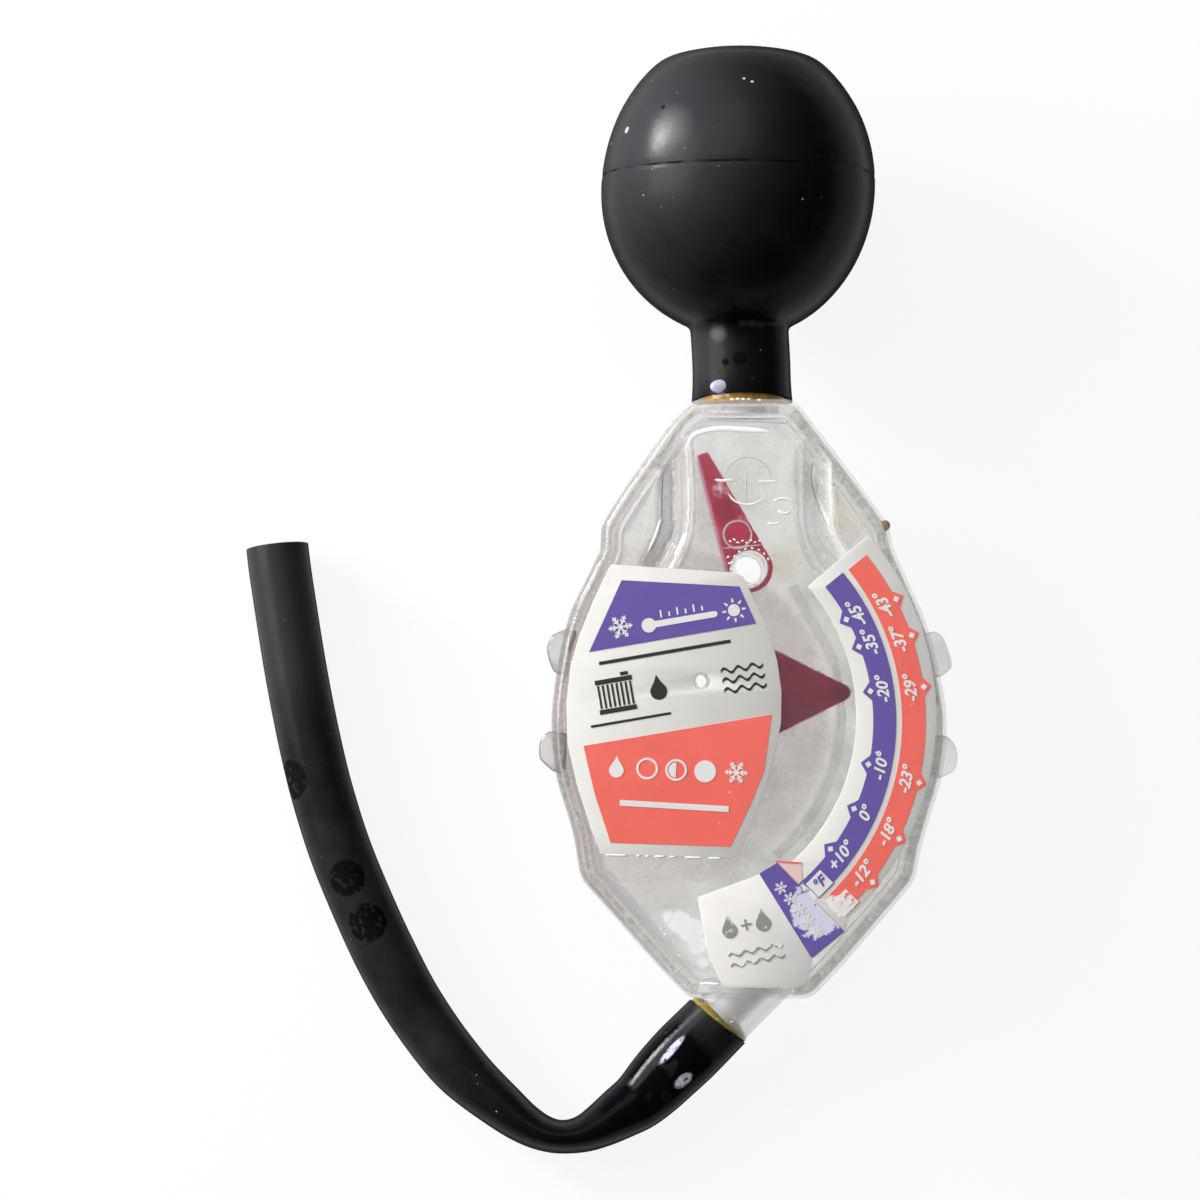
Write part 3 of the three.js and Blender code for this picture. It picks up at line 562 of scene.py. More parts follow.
class Finish:
    """A material with one Principled shader, fed by nodes that know their place in the tester's own frame."""

    def __init__(self, name, sockets):
        self.material = bpy.data.materials.new(name)
        self.material.use_nodes = True
        self.tree = self.material.node_tree
        self.shader = self.tree.nodes["Principled BSDF"]
        for key, value in sockets.items():
            self.shader.inputs[key].default_value = value
        self.place = self.mapped(
            self.node("ShaderNodeTexCoord").outputs["Object"], Location=TO_TESTER.translation,
            Rotation=TURN.transposed().to_euler(), Scale=(1 / MM, 1 / MM, 1 / MM),
        )

    def node(self, kind, sockets=None, **settings):
        return node(self.tree, kind, sockets, **settings)

    def maths(self, operation, first, second=0.0):
        return maths(self.tree, operation, first, second)

    def times(self, first, second):
        return self.maths("MULTIPLY", first, second)

    def mapped(self, place, kind="POINT", **sockets):
        return self.node("ShaderNodeMapping", {"Vector": place, **sockets}, vector_type=kind).outputs[0]

    def apart(self, first, second, operation):
        """A number that a vector operation makes of two places or directions."""
        return self.node("ShaderNodeVectorMath", {0: first, 1: second}, operation=operation).outputs["Value"]

    def part(self, index):
        """The place's x, y or z."""
        return self.node("ShaderNodeSeparateXYZ", {0: self.place}).outputs[index]

    def blend(self, share, first, second):
        """A colour between two colours."""
        return self.node("ShaderNodeMix", {0: share, 6: first, 7: second}, data_type="RGBA").outputs[2]

    def blend_value(self, share, first, second):
        """A number between two numbers."""
        return self.node("ShaderNodeMix", {0: share, 2: first, 3: second}, data_type="FLOAT").outputs[0]

    def coated(self, share, under, over):
        """A coat, which is a colour and a roughness, with another over it by a share."""
        return self.blend(share, under[0], over[0]), self.blend_value(share, under[1], over[1])

    def between(self, value, low, high, to_low=0.0, to_high=1.0):
        """The value, carried from low and high to two others and held there."""
        sockets = {0: value, 1: low, 2: high, 3: to_low, 4: to_high}
        return self.node("ShaderNodeMapRange", sockets, interpolation_type="SMOOTHSTEP").outputs[0]

    def noise(self, size, detail=3.0, roughness=0.55, place=None):
        """Noise with features of about this size."""
        sockets = {"Vector": place or self.place, "Scale": 1 / size, "Detail": detail, "Roughness": roughness}
        return self.node("ShaderNodeTexNoise", sockets).outputs["Fac"]

    def patches(self, grain, low, high, to_low=0.0, to_high=1.0, place=None):
        """Noise of a grain, carried between two levels: its size, detail and roughness."""
        return self.between(self.noise(*grain, place=place), low, high, to_low, to_high)

    def around(self, centre, radius, soft, place=None):
        """1 within a ball, 0 outside it."""
        return self.between(self.apart(place or self.place, centre, "DISTANCE"), radius + soft, radius)

    def specks(self, spacing, radius, share):
        """1 on small round specks and 0 off them: a share of the cells of this spacing holds one."""
        cells = self.node("ShaderNodeTexVoronoi", {"Vector": self.place, "Scale": 1 / spacing})
        near = self.between(cells.outputs["Distance"], radius / spacing, 0.6 * radius / spacing)
        chosen = self.node("ShaderNodeSeparateColor", {0: cells.outputs["Color"]}).outputs[0]
        return self.times(near, self.maths("LESS_THAN", chosen, share))

    def fed(self, colour, rough, relief=(), others=None):
        """The material, with its colour, roughness and other values linked, and layers of bumps: grain,
        strength and distance in metres."""
        sockets = {"Base Color": colour, "Roughness": rough, **(others or {})}
        for grain, strength, distance in relief:
            layer = {"Height": self.noise(*grain), "Strength": strength, "Distance": distance}
            if "Normal" in sockets:
                layer["Normal"] = sockets["Normal"]
            sockets["Normal"] = self.node("ShaderNodeBump", layer).outputs[0]
        for key, value in sockets.items():
            self.tree.links.new(value, self.shader.inputs[key])
        return self.material


# Materials
def rubber(name, tones, marks, painted_shading, wet=None, glints=(), seam=None):
    """Black moulded rubber: mottled, dusty and marked, with wet places and a seam, and with painted
    highlights, painted shade and painted reflections.
    """
    made = Finish(name, {"Specular IOR Level": 0.06})
    colour = made.blend(made.patches((9, 5, 0.6), 0.35, 0.7), *tones)
    smear = made.patches((1.6, 4, 0.7), 0.55, 0.8, place=made.mapped(made.place, Scale=(0.15, 1, 1)))
    colour = made.blend(made.times(smear, 0.15), colour, SMEAR)
    # Painted highlights and shade, blended into the colour
    for centre, radius, soft, tone in painted_shading:
        colour = made.blend(made.around(centre, radius, soft), colour, tone)
    coat = colour, made.patches((5, 4, 0.6), 0.3, 0.7, 0.2, 0.3)
    for speck in DUST_SPECKS:
        dust = made.times(made.specks(*speck), made.patches((14, 2), 0.36, 0.55))
        coat = made.coated(dust, coat, DUSTY)
    if wet is not None:
        coat = made.coated(made.times(made.around(*wet), made.patches((5, 3), 0.34, 0.4)), coat, WET)
    colour, rough = coat
    # Painted reflections, each stretched along its turn
    for centre, half_length, half_width, turn, tone in glints:
        near = made.mapped(
            made.place, "TEXTURE", Location=centre, Rotation=(0, 0, math.radians(turn)),
            Scale=(half_length, half_width, half_width),
        )
        spot = made.times(made.around((0, 0, 0), 0.6, 0.4, near), made.patches((0.7, 4, 0.7), 0.36, 0.5))
        colour = made.blend(spot, colour, tone)
    coat = colour, rough
    for centre, radius, tone, shine, rag in marks:
        torn = made.patches((1, 2), 0.5 * rag, 0.5 * rag + 0.08)
        coat = made.coated(made.times(made.around(centre, radius, 0.15 * radius), torn), coat, (tone, shine))
    if seam is not None:
        away = made.maths("ABSOLUTE", made.maths("SUBTRACT", made.part(1), seam))
        crack = made.times(made.between(away, SEAM_HALF, SEAM_DEPTH), made.patches((8, 2), 0.35, 0.6))
        coat = made.coated(crack, coat, CRACK)
    colour, rough = coat
    facing = made.node("ShaderNodeLayerWeight").outputs["Facing"]
    rough = made.blend_value(made.between(facing, 0.55, 0.9), rough, 0.9)
    return made.fed(colour, rough, [((0.6, 4, 0.7), 0.1, 0.0003), ((6, 3, 0.5), 0.12, 0.0008)])


def clear_plastic(name, colour, least, most, rough=0.05, wall=0.4, well=False, glare=()):
    """Clear moulded plastic: its flat faces refract, a little scuffed, and its walls are a thin haze, painted
    darker towards the left.
    """
    made = Finish(name, {"IOR": 1.49})
    across = made.part(0)
    facing = made.apart(made.node("ShaderNodeNewGeometry").outputs["Normal"], tuple(OUT), "DOT_PRODUCT")
    side = made.between(made.maths("ABSOLUTE", facing), 0.99, 0.8)
    cloud = made.patches((11, 4, 0.6), 0.3, 0.75)
    grain = made.patches((0.9, 4, 0.7), 0.5, 0.72)
    clear = made.times(made.between(cloud, 0, 1, most, least), made.between(grain, 0, 1, 1, 0.98))
    tone = made.blend(cloud, colour, dimmed(colour, 0.94))
    if well:
        uneven = made.patches((6, 5, 0.65), 0.3, 0.7, 0.35, 1)
        inside = made.times(made.around(tuple(PIVOT), 31.6, 1.2), uneven)
        tone = made.blend(inside, tone, WELL)
        tone = made.blend(made.times(inside, made.patches((2.2, 6, 0.75), 0.46, 0.6)), tone, WELL_PALE)
        clear = made.blend_value(inside, clear, 0.62)
        tone = made.blend(made.times(made.between(across, -20, -31), 0.7), tone, PINKISH)
        for centre, radius, soft, stained in STAINS:
            patch = made.around(centre, radius, soft)
            tone = made.blend(patch, tone, stained)
            clear = made.blend_value(made.times(patch, 0.5), clear, 0.55)
    # Painted glare: the face turns opaque, and so white, in these places
    if glare:
        nearest = 0.0
        for spot in glare:
            nearest = made.maths("MAXIMUM", made.around(*spot), nearest)
        field = made.maths("ADD", nearest, made.times(made.noise(2.4, 4), 0.6))
        clear = made.blend_value(made.times(made.between(field, 0.6, 1.3), 0.85), clear, 0)
    # Painted shade: the walls are darker, and their haze thicker, towards the left
    rightward = made.between(across, -30, 10)
    tone = made.blend(side, tone, made.blend(rightward, LEFT_WALL_SHADE, WALL_TONE))
    clear = made.blend_value(side, clear, 0)
    haze = made.between(rightward, 0, 1, 1.1 * wall, 0.7 * wall)
    others = {"Alpha": made.blend_value(side, 1, haze), "Transmission Weight": clear}
    sheen = made.patches((2.2, 4, 0.7), 0.3, 0.7, rough, rough + 0.09)
    return made.fed(tone, sheen, [((3.5, 3, 0.6), 0.12, 0.0004)], others)


def cement(name, colour, alpha=1.0):
    """Hardened glossy cement, uneven in colour."""
    made = Finish(name, {"IOR": 1.5, "Coat Weight": 0.4, "Coat Roughness": 0.08})
    shade = made.patches((1.6, 4, 0.6), 0.3, 0.7)
    tone = made.blend(shade, colour, dimmed(colour, 0.35))
    others = {"Alpha": made.between(shade, 0, 1, alpha, 0.7 * alpha)} if alpha < 1 else {}
    return made.fed(tone, made.between(shade, 0, 1, 0.15, 0.35), [((1.2, 3), 0.5, 0.0004)], others)


def plain(name, colour, rough, rougher=0.1, grain=(1.5, 3), dim=0.9, metallic=0.0):
    """A plain smooth surface, a little uneven."""
    made = Finish(name, {"IOR": 1.5, "Metallic": metallic})
    uneven = made.noise(*grain)
    tone = made.blend(uneven, colour, dimmed(colour, dim))
    return made.fed(tone, made.between(uneven, 0.3, 0.7, rough, rough + rougher))


def metal(name, colour, rough):
    return plain(name, colour, rough, rougher=0.15, grain=(0.8, 4), dim=0.7, metallic=1.0)


def coloured_plastic(name, colour, frost=(), shade=(), painted_edge_highlight=False, scratched=0.2):
    """Moulded coloured plastic with scratches, paler where it is frosted, darker where shade is painted, and,
    where asked, with a painted highlight along the level arm's left edge.
    """
    made = Finish(name, {"Specular IOR Level": 0.05})
    tone = made.blend(made.patches((7, 4, 0.6), 0.3, 0.75), colour, dimmed(colour, 0.72))
    stretched = made.mapped(made.place, Rotation=(0, 0, math.radians(24)), Scale=(0.12, 1, 1))
    scratch = made.patches((0.5, 5, 0.8), 0.62, 0.75, place=stretched)
    pale = tuple(0.55 + 0.45 * c for c in colour)
    tone = made.blend(made.times(scratch, scratched), tone, pale)
    # Painted shade
    for spot in shade:
        tone = made.blend(made.times(made.around(*spot), 0.75), tone, dimmed(colour, 0.45))
    rag = made.patches((1.1, 5, 0.75), 0.45, 0.6)
    for spot in frost:
        tone = made.blend(made.times(made.around(*spot), rag), tone, FROST)
    # A painted highlight along the level arm's left edge, following its narrowing
    if painted_edge_highlight:
        sockets = {0: made.place, 1: tuple(LEVEL)}
        offset = made.node("ShaderNodeVectorMath", sockets, operation="SUBTRACT").outputs[0]
        left = made.apart(offset, ARM_LEFT, "DOT_PRODUCT")
        narrowed = made.times(made.apart(offset, ARM_WAY, "DOT_PRODUCT"), ARM_TAPER)
        edge = made.between(made.maths("ADD", left, narrowed), LEVEL_HUB - 0.75, LEVEL_HUB - 0.15)
        tone = made.blend(made.times(edge, 0.85), tone, EDGE_HIGHLIGHT_PINK)
    return made.fed(tone, made.blend_value(scratch, 0.34, 0.5), [((1.5, 4), 0.15, 0.0002)])


def printed(name, colour, wear=0.0, worn_and_glare=(), bare=BARE):
    """Paper or ink of a sticker, under a thin laminate, with faint wear and worn places; on the tab these
    places are a painted glare.
    """
    made = Finish(name, {"Specular IOR Level": 0.4})
    tone = made.blend(made.patches((8, 4, 0.6), 0.3, 0.75), colour, dimmed(colour, 0.94))
    tone = made.blend(made.times(made.patches((0.55, 5, 0.8), 0.66, 0.72), wear), tone, CHIPPED)
    for *spot, strength in worn_and_glare:
        rag = made.maths("ADD", made.noise(1.5, 5, 0.7), made.times(made.around(*spot), strength))
        tone = made.blend(made.between(rag, 0.68, 0.74), tone, bare)
    return made.fed(tone, made.patches((3, 4), 0.3, 0.7, 0.37, 0.5), [((4, 3), 0.1, 0.0002)])


# Meshes
def sealed(mesh):
    """The mesh with its doubled points joined and its faces pointing out."""
    tidy = bmesh.new()
    tidy.from_mesh(mesh)
    bmesh.ops.remove_doubles(tidy, verts=tidy.verts, dist=1e-7)
    bmesh.ops.recalc_face_normals(tidy, faces=tidy.faces)
    tidy.to_mesh(mesh)
    tidy.free()
    return mesh


def build(name, points, faces, place=TESTER):
    """A mesh from points in the tester's frame, or in another."""
    mesh = bpy.data.meshes.new(name)
    mesh.from_pydata([tuple(p) for p in points], [], faces)
    mesh.transform(place)
    return sealed(mesh)


def add(name, mesh, material, body="housing", sharp=35):
    """A piece of the object, shaded smooth but for its sharp edges."""
    mesh.shade_smooth()
    mesh.set_sharp_from_angle(angle=math.radians(sharp))
    mesh.materials.clear()
    mesh.materials.append(material)
    made = bpy.data.objects.new(name, mesh)
    bpy.context.scene.collection.objects.link(made)
    if body:
        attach(made, body)
    return made


def tube_faces(rows, sides, closed=False):
    """Quads between rows of points that run round and, if closed, from the last row to the first."""
    faces = []
    for r in range(rows if closed else rows - 1):
        low, high = r * sides, (r + 1) % rows * sides
        for s in range(sides):
            after = (s + 1) % sides
            faces.append((low + s, low + after, high + after, high + s))
    return faces


def lathe(name, profile, sides, place=Matrix(), upright=False, leaning=False):
    """A ring or solid turned from a closed profile of (radius, height), along the tester or upright."""
    points = []
    for radius, height in profile:
        for s in range(sides):
            angle = 2 * math.pi * s / sides
            across, out = radius * math.cos(angle), radius * math.sin(angle)
            points.append(place @ Vector((across, out, height) if upright else (across, height, out)))
    return build(name, leaned(points) if leaning else points, tube_faces(len(profile), sides, True))


def from_curve(name, curve, place):
    """The mesh of a curve, which goes."""
    holder = bpy.data.objects.new(name, curve)
    mesh = bpy.data.meshes.new_from_object(holder)
    bpy.data.objects.remove(holder)
    mesh.transform(TESTER @ place)
    return sealed(mesh)


def flat(name, loops, low, high, edge=0.0, rounds=2):
    """A plate with the loops as its outline and holes, its corners rounded by the edge."""
    curve = bpy.data.curves.new(name, "CURVE")
    curve.dimensions = "2D"
    curve.fill_mode = "BOTH"
    for loop in loops:
        spline = curve.splines.new("POLY")
        spline.points.add(len(loop) - 1)
        for point, (x, y) in zip(spline.points, loop):
            point.co = (x, y, 0, 1)
        spline.use_cyclic_u = True
    curve.extrude = (high - low) / 2 - edge
    curve.bevel_depth = edge
    curve.bevel_resolution = rounds if edge else 0
    curve.offset = -edge
    return from_curve(name, curve, Matrix.Translation((0, 0, (low + high) / 2)))


def ridge(name, line, width, height, material, level=None):
    """A half-round bead along a line, on the dial face or on a level, thinning at its ends."""
    line = resampled(catmull(line, 8), 0.35)
    across = sideways(np.gradient(line, axis=0))
    swell = np.clip(np.sqrt(np.sin(math.pi * np.linspace(0, 1, len(line)))) * 1.5, 0.15, 1)
    sides = 9
    angles = np.linspace(0, math.pi, sides)
    reach = 0.5 * width * swell[:, None] * np.cos(angles)
    plan = (line[:, None, :] + across[:, None, :] * reach[:, :, None]).reshape(-1, 2)
    rise = (height * swell[:, None] * np.sin(angles)).ravel() - 0.02
    foot = FRONT_DEPTH - groove_relief(plan) if level is None else np.full(len(plan), level)
    points = np.column_stack([plan, foot + rise])
    faces = tube_faces(len(line), sides)
    faces += [tuple(range(sides)), tuple(range(len(points) - sides, len(points)))]
    add("mark_" + name, build(name, points, faces), material, sharp=80)


def cut_rods(mesh, rods):
    """The mesh without upright rods, each a place and a radius."""
    for spot, radius in rods:
        profile = [(0.001, -20), (radius, -20), (radius, 20), (0.001, 20)]
        holder = bpy.data.objects.new("holder", mesh)
        rod = bpy.data.objects.new("rod", lathe("rod", profile, 48, Matrix.Translation(spot), upright=True))
        for made in (holder, rod):
            bpy.context.scene.collection.objects.link(made)
        cut = holder.modifiers.new("cut", "BOOLEAN")
        cut.operation = "DIFFERENCE"
        cut.solver = "MANIFOLD"
        cut.object = rod
        graph = bpy.context.evaluated_depsgraph_get()
        mesh = bpy.data.meshes.new_from_object(holder.evaluated_get(graph))
        for made in (holder, rod):
            bpy.data.objects.remove(made)
    return mesh


# Printed shapes, each a list of loops
def moved(loops, x, y, turn=0.0, size=1.0):
    """The loops, sized, turned in degrees and moved."""
    c, s = size * math.cos(math.radians(turn)), size * math.sin(math.radians(turn))
    return [[(x + c * a - s * b, y + s * a + c * b) for a, b in loop] for loop in loops]


def placed(marks, turn):
    """The loops of marks, each a shape, its place and its size, all turned alike."""
    return [loop for shape, x, y, *size in marks for loop in moved(shape, x, y, turn, *size)]


def disc(radius, centre=(0, 0), steps=28):
    return arc(centre, radius, 0, 360, steps)[:-1]


def bar(x, y, half_length, half_width):
    corners = ((-1, -1), (1, -1), (1, 1), (-1, 1))
    return [(x + a * half_length, y + b * half_width) for a, b in corners]


def snowflake():
    """A six-armed flake, one unit in radius."""
    half = 0.075
    edge = [
        (half / math.tan(math.radians(30)), -half), (0.4, -half), (0.52, -0.24), (0.66, -0.24), (0.56, -half),
        (0.68, -half), (0.78, -0.2), (0.9, -0.2), (0.82, -half), (1, -half),
    ]
    arm = edge + [(x, -y) for x, y in reversed(edge[1:])]
    return [[point for k in range(6) for point in moved([arm], 0, 0, 60 * k)[0]]]


def droplet():
    """A drop, one unit in radius at its belly."""
    return [[*arc((0, 0), 1, -220, 40, 24), (0.36, 1.25), (0, 2.0), (-0.36, 1.25)]]


def thermometer(length):
    """A glass thermometer along x, its bulb at the left, with its marks above it."""
    loops = [[*arc((0, 0), 1, 26, 334, 28), *arc((length, 0), 0.42, -90, 90, 8)]]
    start, step = 1.9, 1.15
    for k in range(int((length - 1.6) / step)):
        tall = 0.32 if k % 2 else 0.52
        loops.append(bar(start + step * k, 0.78 + tall, 0.12, tall))
    return loops


def sun():
    ray = [(0.66, -0.11), (1, -0.05), (1, 0.05), (0.66, 0.11)]
    return [disc(0.5)] + [moved([ray], 0, 0, 45 * k)[0] for k in range(8)]


def radiator():
    """A cooler's core between its two tanks, with its filler on top."""
    tanks = [bar(0, 1.35, 1.7, 0.22), bar(0, -1.35, 1.7, 0.22), bar(1.05, 1.82, 0.35, 0.16)]
    return tanks + [bar(-1.47 + 0.42 * k, 0, 0.095, 1.05) for k in range(8)]


def wave(length, height, thick, turns):
    x = np.linspace(0, length, 12 * turns + 1)
    y = height * np.sin(2 * math.pi * turns * x / length)
    top, low = ([(a, b + lift) for a, b in zip(x, y)] for lift in (thick / 2, -thick / 2))
    return [top + low[::-1]]


# Camera
def make_camera():
    """The photograph's long lens, almost square to the dial."""
    up = Vector((0, math.cos(VIEW_LEAN), math.sin(VIEW_LEAN)))
    back = Vector((0, -math.sin(VIEW_LEAN), math.cos(VIEW_LEAN)))
    axes = Matrix((TURN @ Vector((1, 0, 0)), TURN @ up, TURN @ back)).transposed()
    data = bpy.data.cameras.new("camera")
    data.lens_unit = "FOV"
    data.angle = 2 * math.atan(HALF_PICTURE / FOCAL_PIXELS)
    data.clip_start = 0.01
    camera = bpy.data.objects.new("camera", data)
    bpy.context.scene.collection.objects.link(camera)
    place = TESTER @ (VIEW_POINT + VIEW_DISTANCE * back)
    camera.matrix_world = Matrix.Translation(place) @ axes.to_4x4()
    bpy.context.scene.camera = camera


# Hose
def hose_line():
    """The middle of the hose, in metres in the row's frame."""
    way = TURN @ Vector((math.cos(SPIGOT_ANGLE), math.sin(SPIGOT_ANGLE), 0))
    start = TESTER @ SPIGOT_END
    straight = [start + way * (HOSE_STRAIGHT * MM * share) for share in (0, 0.5, 1)]
    route = [Vector((x, y + HOUSING_SHIFT, z)) * MM for x, y, z in HOSE_ROUTE]
    return resampled(catmull([*straight, *route], 12), HOSE_SPACING * MM)


def make_hose(material):
    line = hose_line()
    distances = np.arange(len(line)) * np.linalg.norm(np.diff(line, axis=0), axis=1).mean() / MM
    at, *sizes = (np.array(column, float) for column in zip(*HOSE_SECTIONS))
    widths, heights = (smoothed(np.interp(distances, at, size) / 2, 6) for size in sizes)
    ways = np.gradient(line, axis=0)
    ways /= np.linalg.norm(ways, axis=1)[:, None]
    sides = np.cross(ways, (0, 0, 1))
    sides /= np.linalg.norm(sides, axis=1)[:, None]
    ups = np.cross(sides, ways)
    slants = math.tan(HOSE_END_TILT) * np.clip(1 - distances / HOSE_STRAIGHT, 0, 1)
    wall = HOSE_DIAMETER / 2 - HOSE_BORE
    rings = [(i, widths[i], heights[i]) for i in range(len(line))]
    rings += [(i, max(a - wall, HOSE_LEAST), max(b - wall, HOSE_LEAST)) for i, a, b in reversed(rings)]
    angles = np.linspace(0, 2 * math.pi, HOSE_SIDES, endpoint=False)[:, None]
    points = []
    for i, half_width, half_height in rings:
        across = np.cos(angles) * (sides[i] + ways[i] * slants[i]) * half_width * MM
        points.extend(line[i] + across + np.sin(angles) * ups[i] * half_height * MM)
    mesh = build("hose", points, tube_faces(len(rings), HOSE_SIDES, True), Matrix())
    made = add("hose", mesh, material)
    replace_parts(made, "suction_hose")


# Bulb
def bulb_profile(thick):
    """One side of the bulb and its neck as (radius, height), moved in by a thickness."""
    radius, upper, lower = BULB_RADIUS - thick, BULB_UPPER - thick, BULB_LOWER - thick
    neck = STUB_RADIUS + 0.3 if thick else NECK_RADIUS
    top = BULB_TOP_RADIUS - thick
    meets = BULB_LOWER * math.sqrt(1 - (NECK_RADIUS / BULB_RADIUS) ** 2)
    centre = NECK_END + NECK_LENGTH + meets
    line = [(neck, h) for h in np.linspace(NECK_END, NECK_END + NECK_LENGTH - 1, 10)]
    for angle in np.linspace(-math.acos(neck / radius), 0, 40):
        line.append((radius * math.cos(angle), centre + lower * math.sin(angle)))
    for angle in np.linspace(0, math.acos(top / radius), 36)[1:]:
        line.append((radius * math.cos(angle), centre + upper * math.sin(angle)))
    rim = line[-1][1]
    for share in np.linspace(1, 0, 14)[1:]:
        line.append((max(top * share, 0.01), rim + BULB_TOP_DOME * (1 - share**2)))
    return line


def bulb_surface():
    """The bulb's outside as (radius, height), its top edge well rounded."""
    outer = smoothed(resampled(bulb_profile(0), 0.45), 3)
    for _ in range(23):
        soft = (outer[:-2] + 2 * outer[1:-1] + outer[2:]) / 4
        outer[1:-1] = np.where(outer[1:-1, 1:] < TOP_ROUNDING, outer[1:-1], soft)
    return outer


def on_bulb(x, y):
    """The point on the bulb's front over a place."""
    outer = bulb_surface()
    radius = np.interp(y, outer[:, 1], outer[:, 0])
    return x, y, math.sqrt(radius**2 - (x - leaned([(0, y)])[0, 0]) ** 2)


def lifted_to_bulb(rows):
    """Rows that start with a place on the dial's plane, each over the same place on the bulb's front."""
    return [(on_bulb(x, y), *rest) for x, y, *rest in rows]


def make_bulb(material):
    outer = bulb_surface()
    seam = np.exp(-(((outer[:, 1] - SEAM_HEIGHT) / SEAM_HALF) ** 2)) * (outer[:, 0] > NECK_RADIUS)
    outer[:, 0] -= SEAM_DEPTH * seam
    outer[:, 0] += FLARE * np.clip((NECK_END + FLARE_REACH - outer[:, 1]) / FLARE_REACH, 0, 1) ** 2
    mesh = lathe("bulb", [*outer, *bulb_profile(BULB_WALL)[::-1]], BULB_SIDES, leaning=True)

    # The neck's end is lower at its sides than over the dial
    mesh.transform(TO_TESTER)
    for vertex in mesh.vertices:
        fade = min(max((NECK_END + END_REACH - vertex.co.y) / END_REACH, 0), 1)
        vertex.co.y += fade * (END_RISE * max(vertex.co.z, 0) / NECK_RADIUS - END_DROP)
    mesh.transform(TESTER)
    made = add("bulb", mesh, material, body=None, sharp=50)
    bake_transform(made)
    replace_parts(made, "squeeze_bulb")


# Housing
def outline():
    """The housing's outline, as points about a millimetre apart."""
    flank = catmull(shares(FLANK_SHARES, HALF_WIDTH, HALF_LENGTH), 6)
    shoulder, foot = (shares(pairs, HALF_WIDTH, HALF_LENGTH) for pairs in (SHOULDER_SHARES, FOOT_SHARES))
    half = [*shoulder, *flank, *foot]
    heights, swells = zip(*LEFT_SWELL)
    left = [(-x - float(np.interp(y, heights, swells)), y) for x, y in reversed(half)]
    return leaned(softened(resampled([*half, *left], 1.0, closed=True)[::-1], 3))


RIM = outline()


def inset(distance):
    """The outline moved inwards."""
    inward = softened(sideways(np.roll(RIM, -1, axis=0) - np.roll(RIM, 1, axis=0)), 4)
    inward /= np.linalg.norm(inward, axis=1)[:, None]
    return RIM + inward * distance


def distance_to(points, line):
    """How far each point lies from a line of points."""
    best = np.full(len(points), np.inf)
    for a, b in zip(line[:-1], line[1:]):
        span = b - a
        t = np.clip(((points - a) @ span) / (span @ span), 0, 1)
        best = np.minimum(best, np.linalg.norm(points - (a + t[:, None] * span), axis=1))
    return best


GROOVES = [leaned(catmull(shares(GROOVE_SHARES, GROOVE_HALF_SPAN, HALF_LENGTH, side), 6)) for side in (-1, 1)]


def groove_relief(points, extra=0.0):
    """How deep the finger grooves are under the dial face at each point."""
    depth = np.zeros(len(points))
    for line in GROOVES:
        away = distance_to(points, line) / (GROOVE_HALF_WIDTH + extra)
        depth = np.maximum(depth, 0.5 + 0.5 * np.cos(math.pi * np.clip(away, 0, 1)))
    return GROOVE_DEPTH * depth


def half_shell(side, depth, edge):
    """One half of the housing: its outside, then its inside, as rings of points with a middle point each.
    Only the front half has grooves."""
    def level(points, thick, wider):
        return depth - thick - (groove_relief(points, wider) if side > 0 else np.zeros(len(points)))

    count = len(RIM)
    rings, middles = [], []
    for step, thick, rounding, wider in ((0, 0, 1, 0), (FLANGE_WALL, WALL, INNER_ROUNDING, 1)):
        sheet = [(inset(step), np.full(count, HALF_GAP))]
        for k in range(EDGE_RINGS + 1):
            angle = math.pi / 2 * k / EDGE_RINGS
            across = edge[0] * rounding * (1 - math.cos(angle))
            down = edge[1] * rounding * (1 - math.sin(angle))
            sheet.append((inset(step + across), np.full(count, depth - thick - down)))
        last = sheet[-1][0]
        for k in range(1, FACE_RINGS):
            ring = last * (1 - k / FACE_RINGS)
            sheet.append((ring, level(ring, thick, wider)))
        rings += reversed(sheet) if step else sheet
        middles.append((0, 0, side * level(np.zeros((1, 2)), thick, wider)[0]))
    points = [(x, y, side * h) for ring, heights in rings for (x, y), h in zip(ring, heights)]
    total = len(points)
    half = total // 2
    sheet_faces = tube_faces(len(rings) // 2, count)
    faces = [tuple(v + start for v in face) for start in (0, half) for face in sheet_faces]
    pairs = [(s, (s + 1) % count) for s in range(count)]
    for s, after in pairs:
        faces.append((half - count + s, half - count + after, total))
        faces.append((half + s, total + 1, half + after))
    faces += [(s, total - count + s, total - count + after, after) for s, after in pairs]
    return points + middles, faces


def make_shells(front, back):
    posts = [(LEVEL, LEVEL_POST[0]), (STOP, STOP_POST[0])]
    for name, side, depth, edge, material in (
        ("front_half", 1, FRONT_DEPTH, FRONT_EDGE, front), ("back_half", -1, BACK_DEPTH, BACK_EDGE, back),
    ):
        made = add(name, cut_rods(build(name, *half_shell(side, depth, edge)), posts), material)
        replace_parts(made, "front_shell" if side > 0 else "back_shell")


def make_ribs(material):
    for side, name in ((-1, "funnel_rib_left"), (1, "funnel_rib_right")):
        line = leaned(catmull(shares(GROOVE_SHARES, FUNNEL_HALF_SPAN, HALF_LENGTH, side), 6))
        add(name, flat(name, [band(line, RIB_WIDTH)], FLOOR, -HALF_GAP, RIB_EDGE), material)
    curve = arc(PIVOT, WELL_RADIUS, *WELL_RIB_SPAN, 28)
    (x, y), (length, turn) = curve[-1], WELL_RIB_TAIL
    curve.append((x + length * math.cos(turn), y + length * math.sin(turn)))
    add("well_rib", flat("well_rib", [band(curve, RIB_WIDTH)], FLOOR, WELL_RIB_TOP, RIB_EDGE), material)


